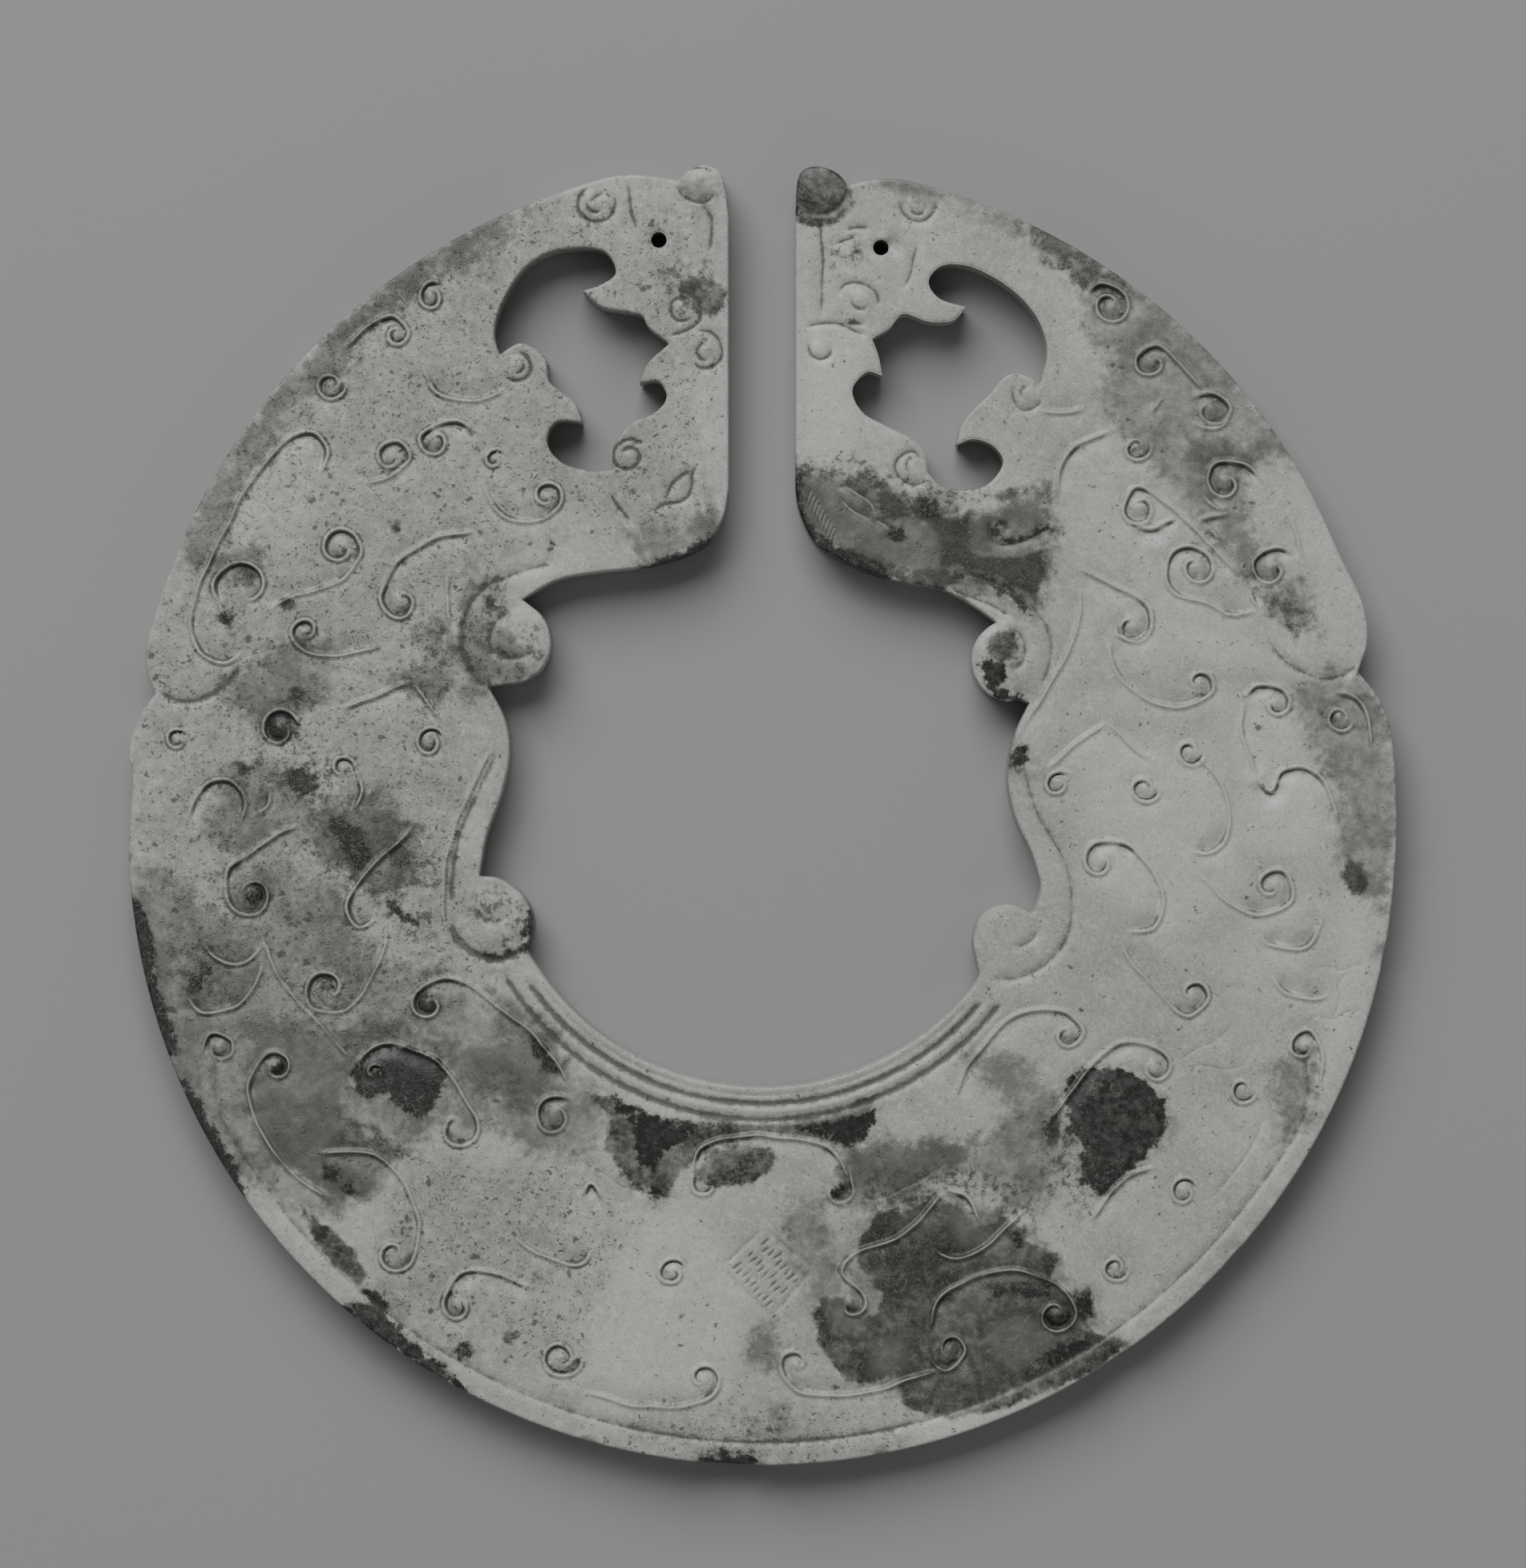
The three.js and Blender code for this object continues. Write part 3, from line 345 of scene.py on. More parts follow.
# Threads of the body on the right of the slit, from the top round to the bottom.
right_threads = [
    scroll([[51, 84], [53.5, 86.4], [57, 84.9]], [54.8, 82.8], -1.2),
    scroll([[70, 69.3], [65.5, 74], [61.8, 76.9], [59, 75]], [61.2, 73.8], 0.9),
    scroll([[67.5, 68.4], [71, 69.3], [73.8, 67]], [70.8, 66.4], -0.8),
    [[43.6, 66.3], [45, 66.1], [47, 66], [49, 66.2], [51, 66.7]],
    [[61.2, 66], [62, 67], [62.9, 68.2]],
    [[46.5, 53.4], [46.8, 57], [49, 60.4], [53, 62.4], [55.2, 63.1]],
    scroll([[61.2, 61.4]], [59, 60.6], -1.2),
    scroll([[79, 55], [75.5, 58], [71.5, 58.2], [70.2, 55.6]], [73, 55], 0.8),
    scroll([[75, 40.5], [71.5, 44.5], [64.7, 50.8], [59, 54.4], [56.8, 51.6]], [59.6, 51], 1),
    [[58, 49], [59.5, 48.2], [61.5, 48], [64.5, 49.1], [66, 48.8]],
    [[69.5, 53], [70.5, 51.7], [72.8, 50.3]], [[68.5, 48.9], [70, 49.5], [73.5, 49.7]],
    scroll([[78, 34.6], [74, 34.2], [70.5, 35.8], [65, 37.6], [63.5, 40.2], [64.8, 44.2],
            [67.6, 45.1], [70.6, 43.6]], [68.3, 41.6], -1),
    [[76.7, 38.5], [77.2, 36.7], [78.5, 35]],
    scroll([[84.5, 43.4], [81, 45], [77.2, 42.6]], [80, 41.4], 0.8),
    [[82.8, 50], [84.2, 46.8], [85.3, 43]],
    scroll([[50, 41.7], [55, 38.9], [60.8, 35.7], [61.4, 32.6]], [58.4, 32.4], -0.9),
    scroll([[54.8, 30], [55.4, 25.5], [59.5, 21.6], [65.5, 19.5], [70.9, 22]], [68.8, 23.4], 0.9),
    [[50, 38], [50, 34], [47.7, 27], [43.8, 20.8], [40.8, 15.8]],
    [[44.4, 9.6], [49, 13.5], [54.4, 17.2]], [[54.4, 17.2], [58, 13.6], [61.5, 10.8]],
    scroll([[48.8, 8.6]], [46.6, 7.5], 1.2), scroll([[69.8, 13]], [67.4, 12.5], -1.2),
    scroll([[62.8, 7.2]], [60.2, 6.8], -1.2), scroll([[93.2, 17.8]], [90.9, 18], -1.2),
    scroll([[75.8, 20.5], [78, 23.2], [81.8, 22.6]], [80.9, 20.2], -0.9),
    [[89.8, 21.5], [91.9, 21.8], [94, 20.8], [95.6, 17.6], [96.1, 12.5]],
    [[55.3, 32.3], [56.3, 31], [58, 30.4], [60, 31], [61.8, 32.8]], [[70.5, 47.8], [72.3, 45.8]],
    [[67.5, 64.5], [69.5, 63.6], [71.5, 63.4], [73.2, 64.4], [73.9, 65.7]],
    [[75.8, 20.5], [75.4, 16], [76.6, 12.4], [78.2, 8.6]],
    [[78.2, 8.6], [80, 6.3], [81.5, 9.3], [85, 10.3], [88.5, 8], [90.3, 3], [90.4, 0]],
    [[68.2, 12.6], [72, 8], [73.6, 2], [72.6, -2], [70.6, -3.4], [67.6, -3]],
    scroll([[68.8, -6.6], [72.1, -10], [77.6, -13.2], [83.5, -11.1], [82.6, -6.6]],
           [80.5, -8.5], 0.9),
    scroll([[57.2, -15.8], [61.7, -14.9], [63, -10], [58.3, -2.5], [53.6, -1.4]],
           [53.4, -4.6], 0.9),
    scroll([[56.9, -17.3], [57.6, -19.4], [61.6, -24.6], [67.3, -29.1], [70.4, -26.2]],
           [67.9, -25.6], 0.8),
    [[80.1, -22.2], [82.1, -25.3], [87.3, -26.3], [89.7, -25.6]],
    [[78.5, -16.8], [80.1, -17.9], [84.6, -18.5], [86.3, -17.7], [88.4, -13]],
    scroll([[45, -46], [50.9, -38.1], [56.6, -33.1], [62, -34]], [61.8, -37.2], -0.9),
    scroll([[30.1, -42.2], [33.2, -35.7], [40, -29.1], [47.7, -28.2], [50.6, -31.4]],
           [48.2, -31.8], -1),
    scroll([[87.7, -40.2], [88.4, -34.6], [86.3, -31.4]], [85.4, -33.8], 0.9),
    scroll([[78.1, -41]], [75.7, -40.7], -1.2),
    [[62.1, -52.6], [58, -54.2], [55.8, -55.8], [51.7, -61.7]],
    scroll([[68.9, -56.9]], [66.4, -56.9], 1.3), scroll([[58, -68.7]], [55.7, -68.7], -1.3),
    scroll([[28.5, -56.5], [22.8, -63.1], [14.8, -66.4], [12.3, -69.6], [15.6, -72.3]],
           [14.2, -74.4], -0.8),
    [[28.5, -56.5], [32.5, -57.6], [34.6, -62.1]],
    [[27, -65.9], [30.4, -67.3], [34.9, -65.5], [41.5, -59.3]],
    scroll([[26.1, -79.4], [28.4, -73.1], [38.8, -69.2], [46.7, -71.4], [49.4, -75.4]],
           [46.2, -76.2], -1.1),
    scroll([[25.6, -82], [29, -84.7], [32.2, -82]], [29.6, -81.6], 0.8),
    scroll([[28.7, -84.3], [17.3, -88.1], [6.2, -88.3], [3, -85.6]], [5.2, -84], -0.9),
    scroll([[14.1, -55.2], [10.7, -50], [0, -47.9], [-9.8, -49.9], [-11, -54.5]],
           [-8.9, -55.6], 0.8),
    scroll([[13.8, -52.7], [14.2, -55.2]], [12, -56.6], -0.9),
]

# Two channels follow the inner rim and turn in under the left boss, one follows the outer rim,
# and fine lines run beside them.
rim_channels = [
    arc(0, 2.4, 45.3, -39, -146, 11), arc(0, 2.4, 47.8, -37, -149, 11),
    [[-49, -13.6], [-48.6, -15.9], [-46.9, -18.1], [-44.1, -19.8], [-41.3, -20.1], [-38.6, -19],
     [-36.7, -17.9]],
]
outer_channel = [[-86, -34], *arc(0, 0, 96.2, 207, 333, 14), [85.5, -33.5]]
rim_lines = [
    arc(0, 2.4, 44, -42, -143, 10),
    [[79.4, -44.3], [77, -49.9], [71.4, -57.2]],
]

# Old cracks and faint folds.
crack_cuts = [
    [[-31, -50], [-26, -53.4], [-20.1, -56.5], [-11, -58.2]],
    [[12.1, -58.1], [20, -57.4], [30, -51.7]],
    [[86.6, -22], [89, -21.2], [91, -21.9], [93.4, -21], [96, -21.8]],
    [[84.6, -30.8], [87, -29.4], [90, -29.8], [92.2, -28.2], [94.9, -28.6]],
    [[92.9, -21.8], [91.4, -22.8], [90.6, -24.6], [91, -26], [90.2, -28.4], [88.6, -31]],
    [[64.9, -36.7], [68, -34.4], [70.4, -33.6], [74.4, -30.2]],
    [[65.6, -37.6], [70, -36.8], [73.4, -37.4], [77, -36.5]],
]

# The hair behind the lower right eye: short cuts side by side.
hair_cuts = [
    [[7 + 0.44 * i, 51.6 - 0.74 * i], [8 + 0.44 * i, 54.4 - 0.74 * i]] for i in range(10)
]

# The small panel at the bottom, a square on its corner, holds rows of short shallow strokes.
panel_corners = [[0.2, -62.4], [8, -68.8], [1.5, -76.5], [-6.5, -68.8]]
panel_edges = [[a, b] for a, b in zip(panel_corners, panel_corners[1:] + panel_corners[:1])]
PANEL_TURN = math.radians(40)
PANEL_ROWS, ROW_GAP, FIRST_ROW = 9, 0.98, -3.9
STROKES_PER_ROW, STROKE_GAP, FIRST_STROKE = 3, 2.75, -4.1
STROKE_LENGTH = 2.25
panel_strokes = []
panel_middle = np.array([0.8, -69.5])
panel_along = np.array([math.cos(PANEL_TURN), math.sin(PANEL_TURN)])
panel_across = np.array([-panel_along[1], panel_along[0]])
for row in range(PANEL_ROWS):
    level = FIRST_ROW + row * ROW_GAP
    for place in range(STROKES_PER_ROW):
        start = FIRST_STROKE + place * STROKE_GAP + 0.3 * math.sin(row * 2.3 + place)
        length = STROKE_LENGTH + 0.4 * math.sin(row * 1.7 + place * 2.9)
        lean = 0.12 * math.sin(row * 3.1 + place * 1.3)
        first = panel_middle + panel_across * (level - lean) + panel_along * start
        last = panel_middle + panel_across * (level + lean) + panel_along * (start + length)
        panel_strokes.append([first.tolist(), last.tolist()])

# The low buttons that the curls close on: those of the scrolls, then the heads' other ones.
front_buttons = buttons + [
    [-26.2, 98.9, 2.4], [-12.6, 82.3, 2.4], [-8.9, 75.7, 2], [-38.7, 73.3, 1.9],
    [24.4, 98.3, 2], [15.6, 83.6, 2.2], [9, 76, 1.6], [23.4, 57.3, 2], [41.8, 69, 1.9],
]

# The plain back has a line along both rims and two long scrolls down each side.
back_lines = [
    arc(0, 2.4, 45.6, -40, -145, 10),
    [[-86, -34], *arc(0, 0, 95.6, 207, 333, 12), [85.5, -33.5]],
]
for side in (-1, 1):
    back_lines += [
        scroll([[side * 66, 70], [side * 78, 50], [side * 82, 30], [side * 74, 22]],
               [side * 71, 27], side * -1.1),
        scroll([[side * 62, -38], [side * 52, -56], [side * 30, -70], [side * 22, -66]],
               [side * 25, -62], side * -1),
    ]

# The drilled holes, the bosses and the dents of the rim and face. Each is a place and a radius,
# and for the dents a depth in metres as well.
DRILL_RADIUS = 1.24
drill_holes = [[-16.3, 93.3, DRILL_RADIUS], [18.7, 92.1, DRILL_RADIUS]]
bosses = [
    [-9.9, 101.6, 3.4], [9.6, 101.4, 3.6], [-38.6, 30, 5.4], [38.4, 28, 5.4],
    [-42.2, -13.3, 4.6], [38.6, -16.8, 4.6],
]
dents = [
    [-9, -100.2, 1.7, 0.0016], [-6.3, -100.2, 2.3, 0.002], [-2.4, -100.4, 2.6, 0.0018],
    [18.8, -99.2, 1.9, 0.0012], [-27.6, -97, 1.9, 0.001], [56, -82.6, 2.6, 0.0012],
    [74.2, -66.6, 2.2, 0.001], [98.2, -19.6, 2, 0.0012], [20.4, 92.4, 1.5, 0.0011],
    [-16.3, 93.3, 1.9, 0.0003], [-8.2, 86, 1, 0.0002],
]


def edge_gap(points, loops):
    """How far each point lies from the nearest edge of the outline."""
    starts = np.vstack(loops)
    ends = np.vstack([np.roll(loop, -1, 0) for loop in loops])
    first = np.cumsum([0] + [len(loop) for loop in loops])
    before = np.concatenate([first[i] + np.roll(np.arange(len(loop)), 1)
                             for i, loop in enumerate(loops)])
    tree = KDTree(len(starts))
    for i, (x, y) in enumerate(starts):
        tree.insert((x, y, 0), i)
    tree.balance()
    hit = np.array([tree.find((x, y, 0))[1] for x, y in points])
    gaps = []
    for edge in (hit, before[hit]):
        step, offset = ends[edge] - starts[edge], points - starts[edge]
        t = np.clip((offset * step).sum(1) / (step**2).sum(1), 0, 1)
        gaps.append(np.linalg.norm(offset - t[:, None] * step, axis=1))
    return np.minimum(*gaps)


def ease(start, end, values):
    """A smooth step from 0 at the start to 1 at the end."""
    t = np.clip((values - start) / (end - start), 0, 1)
    return t * t * (3 - 2 * t)


def across(points, line):
    """Each point's distance from a line, positive on its left, and its way along it."""
    step = np.diff(line, axis=0)
    length = np.linalg.norm(step, axis=1)
    offset = points[:, None] - line[:-1]
    t = np.clip((offset * step).sum(2) / length**2, 0, 1)
    away = np.linalg.norm(offset - t[..., None] * step, axis=2)
    row, near = np.arange(len(points)), away.argmin(1)
    side = step[near, 0] * offset[row, near, 1] - step[near, 1] * offset[row, near, 0]
    along = np.r_[0, np.cumsum(length)][near] + t[row, near] * length[near]
    return away[row, near] * np.where(side < 0, -1, 1), along, length.sum()


def bend(line):
    """How tightly a line curls at each of its points, positive to its left, one over metres."""
    step = np.diff(line, axis=0)
    heading = np.unwrap(np.arctan2(step[:, 1], step[:, 0]))
    turn = np.diff(heading) / np.linalg.norm(step[1:], axis=1)
    turn = np.r_[turn[:1], turn, turn[-1:]] if len(turn) else np.zeros(len(line))
    return np.convolve(np.pad(turn, 2, "edge"), np.full(5, 0.2), "valid")


def waves(points, scale, seed):
    """Gentle unevenness between -1 and 1, with features of about a scale."""
    return np.array([noise.noise((x / scale, y / scale, seed)) for x, y in points])


def wander(line):
    """A line that strays a little, as a hand-held tool does."""
    return line + WANDER * np.c_[waves(line, WANDER_SCALE, 5), waves(line, WANDER_SCALE, 9)]


def near_line(points, line, reach):
    """The points near a line: which, how far off, how far along, and a taper at both ends."""
    near = ((points > line.min(0) - reach) & (points < line.max(0) + reach)).all(1)
    near = np.flatnonzero(near)
    away, along, total = across(points[near], line)
    end = min(TAPER, 0.3 * total)
    return near, away, along / total, ease(0, end, along) * ease(0, end, total - along)


def carve(points, threads, cuts):
    """The rise of threads, the depths of hollows and cuts, and the dirt and painted shade in them
    and the wear and painted highlight on them.
    """
    rise, hollow, sunk, dirt_and_shade, wear_and_highlight = np.zeros((5, len(points)))
    for line in threads:
        near, away, share, taper = near_line(points, line, 3 * HOLLOW_WIDTH)
        turn = bend(line)
        curl = np.interp(share, np.linspace(0, 1, len(line)), turn)
        tight = ease(0.4, 1, np.abs(curl) * CURL_RADIUS)
        inward = away if turn.sum() > 0 else -away
        worn = np.clip(0.75 + 0.5 * waves(points[near], WORN_SCALE, 7), 0.4, 1)
        up = np.exp(-((away / THREAD_WIDTH) ** 2)) * taper * worn
        rise[near] = np.maximum(rise[near], THREAD_HEIGHT * up)
        depth = np.where(inward > 0, HOLLOW_DEPTH + CURL_HOLLOW_DEPTH * tight,
                         0.5 * HOLLOW_DEPTH)
        width = np.where(inward > 0, 1.6 * HOLLOW_WIDTH, HOLLOW_WIDTH)
        gap = np.abs(away)
        start, foot = 0.6 * THREAD_WIDTH, 1.8 * THREAD_WIDTH
        below = ease(start, foot, gap) * (1 - ease(0, 1, (gap - foot) / width)) * taper
        hollow[near] = np.maximum(hollow[near], depth * below)
        # Dark at the foot of each thread, heavier on its inner side and in tight curls: partly
        # dirt, partly painted shade.
        held_dirt_and_shade = np.exp(-(((gap - foot) / THREAD_WIDTH) ** 2)) * taper * (0.4 + 0.5 * tight)
        dirt_and_shade[near] = np.maximum(dirt_and_shade[near], np.where(inward > 0, held_dirt_and_shade, 0.6 * held_dirt_and_shade))
        # Thread tops are marked to be painted paler: partly wear, partly painted highlight.
        wear_and_highlight[near] = np.maximum(wear_and_highlight[near], up)
    for line, (depth, width, held_dirt_and_shade, pale) in cuts:
        near, away, _, taper = near_line(points, line, 4 * width)
        cut = np.exp(-((away / width) ** 2)) * taper
        sunk[near] = np.maximum(sunk[near], depth * cut)
        dirt_and_shade[near] = np.maximum(dirt_and_shade[near], held_dirt_and_shade * cut)
        wear_and_highlight[near] = np.maximum(wear_and_highlight[near], pale * cut)
    return rise, hollow, sunk, dirt_and_shade, wear_and_highlight


def rows_beside(line, offsets):
    """Rows of points on and beside a line, at the given offsets."""
    way = np.gradient(line, axis=0)
    way /= np.linalg.norm(way, axis=1)[:, None] + 1e-12
    return [line + np.c_[-way[:, 1], way[:, 0]] * offset for offset in offsets]


def thin(points, cell, taken=()):
    """The points, less those in a cell of the grid that holds one already."""
    seen, keep = set(taken), []
    for i, key in enumerate(map(tuple, np.floor(points / cell).astype(int).tolist())):
        if key not in seen:
            seen.add(key)
            keep.append(i)
    return points[keep]


def within(points, loop):
    """Whether each point lies within a closed loop."""
    ends = np.roll(loop, -1, 0)
    level = (loop[:, 1] > points[:, 1:]) != (ends[:, 1] > points[:, 1:])
    slope = (ends[:, 0] - loop[:, 0]) / (ends[:, 1] - loop[:, 1] + 1e-30)
    crossing = loop[:, 0] + (points[:, 1:] - loop[:, 1]) * slope
    return (level & (crossing > points[:, :1])).sum(1) % 2 == 1


def circle(x, y, radius, count=22):
    """The rim of a drilled hole."""
    angles = np.linspace(0, 2 * math.pi, count, endpoint=False)
    return metres(np.c_[x + radius * np.cos(angles), y + radius * np.sin(angles)])


loops = [outline(run, EDGE_STEP) for run in (ring_runs, left_opening, right_opening)]
loops += [circle(*hole) for hole in drill_holes]
rim = np.vstack(loops)
rim_edges, first = [], 0
for loop in loops:
    rim_edges += [(first + i, first + (i + 1) % len(loop)) for i in range(len(loop))]
    first += len(loop)


def face(threads, cuts, step, thread_rows):
    """One face, cut into triangles: the rim, rows beside its edges and lines, and the rest."""
    placed = []
    for line in threads:
        placed += rows_beside(line, thread_rows)
    for line, (_, width, _, _) in cuts:
        placed += rows_beside(line, [width * row for row in CUT_ROWS])
    for loop in loops:
        placed += rows_beside(np.vstack([loop, loop[:1]]), [s * d for d in EDGE_ROWS
                                                            for s in (-1, 1)])
    placed = thin(np.vstack(placed), CLOSEST)
    rows = [np.c_[x, np.full(len(x), y)] for i, y in enumerate(np.arange(low.y, high.y, step))
            for x in [np.arange(low.x + i % 2 * step / 2, high.x, step)]]
    cell = 0.62 * step
    taken = map(tuple, np.floor(placed / cell).astype(int).tolist())
    inner = np.vstack([placed, thin(np.vstack(rows), cell, taken)])
    inner = inner[edge_gap(inner, loops) > 0.8 * CLOSEST]
    flat = [Vector(p) for p in np.vstack([rim, inner])]
    spots, _, triangles, sources, _, _ = delaunay_2d_cdt(flat, rim_edges, [], 1, 1e-9)
    triangles = np.array(triangles)
    middles = np.array([(p.x, p.y) for p in spots])[triangles].mean(1)
    for hole in loops[1:]:
        inside = within(middles, hole)
        triangles, middles = triangles[~inside], middles[~inside]
    used, triangles = np.unique(triangles, return_inverse=True)
    triangles = triangles.reshape(-1, 3)
    place = {i: n for n, u in enumerate(used) for i in sources[u]}
    spots = np.array([(p.x, p.y) for p in spots])[used]
    return spots, triangles, np.array([place[i] for i in range(len(rim))])


threads = [wander(smooth(q, LINE_STEP)) for q in left_threads + right_threads]
cuts = [(wander(smooth(q, LINE_STEP)), GROOVE) for q in head_cuts]
cuts += [(wander(smooth(q, LINE_STEP)), LID) for q in lid_cuts]
cuts += [(smooth(q, LINE_STEP), SOFT_CUT) for q in soft_cuts]
cuts += [(wander(smooth(q, LINE_STEP)), HAIRLINE) for q in crack_cuts]
cuts += [(smooth(q, LINE_STEP), CHANNEL) for q in rim_channels]
cuts.append((smooth(outer_channel, LINE_STEP), RIM_CHANNEL))
cuts += [(smooth(q, LINE_STEP), RIM_LINE) for q in rim_lines + panel_edges]
cuts += [(smooth(q, 0.7 * LINE_STEP), SCRATCH) for q in hair_cuts]
cuts += [(smooth(q, 0.7 * LINE_STEP), STROKE) for q in panel_strokes]
back_cuts = [(smooth(q, 2 * LINE_STEP), GROOVE) for q in back_lines]
front, front_triangles, front_rim = face(threads, cuts, FACE_STEP, THREAD_ROWS)
back, back_triangles, back_rim = face([], back_cuts, BACK_STEP, ())


def roundness(gap, radius):
    """How far a rounded edge has fallen at a distance from the rim."""
    inside = np.clip(radius - gap, 0, radius)
    return radius - np.sqrt(radius**2 - inside**2)


def domes(points, spots, edge):
    """Rounded tops over spots, flat in the middle and falling over an edge's width."""
    height = np.zeros(len(points))
    for x, y, radius in spots:
        away = np.linalg.norm(points - metres([x, y]), axis=1)
        inside = np.clip(1 - (away / (radius * unit)) ** 2, 0, 1)
        height = np.maximum(height, inside**edge)
    return height


gap = edge_gap(front, loops)
inside = ease(*PLAIN_EDGE, gap)
rise, hollow, cut, dirt_and_shade, wear_and_highlight = carve(front, threads, cuts)
top = low.z + SLAB
raised = BOSS_HEIGHT * domes(front, bosses, 0.5) * inside
knobs = BUTTON_HEIGHT * domes(front, front_buttons, 0.9) * inside
sunk = np.maximum(hollow * (1 - domes(front, front_buttons, 0.3)), cut) * inside
missing = sum(depth * domes(front, [[x, y, r]], 0.7) for x, y, r, depth in dents)
front_z = (top - roundness(gap, FRONT_ROUNDING) + raised + np.maximum(rise, knobs) * inside
           - sunk - missing + SWELL * waves(front, SWELL_SCALE, 1) * inside
           + RIPPLE * waves(front, RIPPLE_SCALE, 2) * inside)
front_z = np.minimum(front_z, high.z)

back_gap = edge_gap(back, loops)
_, _, back_cut, back_dirt_and_shade, back_wear_and_highlight = carve(back, [], back_cuts)
back_z = low.z + roundness(back_gap, BACK_ROUNDING) + back_cut * ease(*PLAIN_EDGE, back_gap)

# The walls run straight down from the front's rim to the back's.
upper, lower = front_z[front_rim], back_z[back_rim]
walls = np.vstack([np.c_[rim, upper + (lower - upper) * (row / WALL_ROWS)]
                   for row in range(1, WALL_ROWS)])
vertices = np.vstack([np.c_[front, front_z], walls, np.c_[back, back_z]])
vertices = np.clip(vertices, low, high)
wall_start, back_start = len(front), len(front) + len(walls)
ladder = [front_rim] + [wall_start + r * len(rim) + np.arange(len(rim))
                        for r in range(WALL_ROWS - 1)] + [back_start + back_rim]
faces = front_triangles.tolist() + (back_start + back_triangles[:, ::-1]).tolist()
for above, below in zip(ladder, ladder[1:]):
    for a, b in rim_edges:
        faces.append((above[b], above[a], below[a], below[b]))

ring_mesh = bpy.data.meshes.new("slit_ring_stone")
ring_mesh.from_pydata(vertices.tolist(), [], faces)
ring_mesh.shade_smooth()
ring = bpy.data.objects.new("slit_ring_stone", ring_mesh)
bpy.context.scene.collection.objects.link(ring)

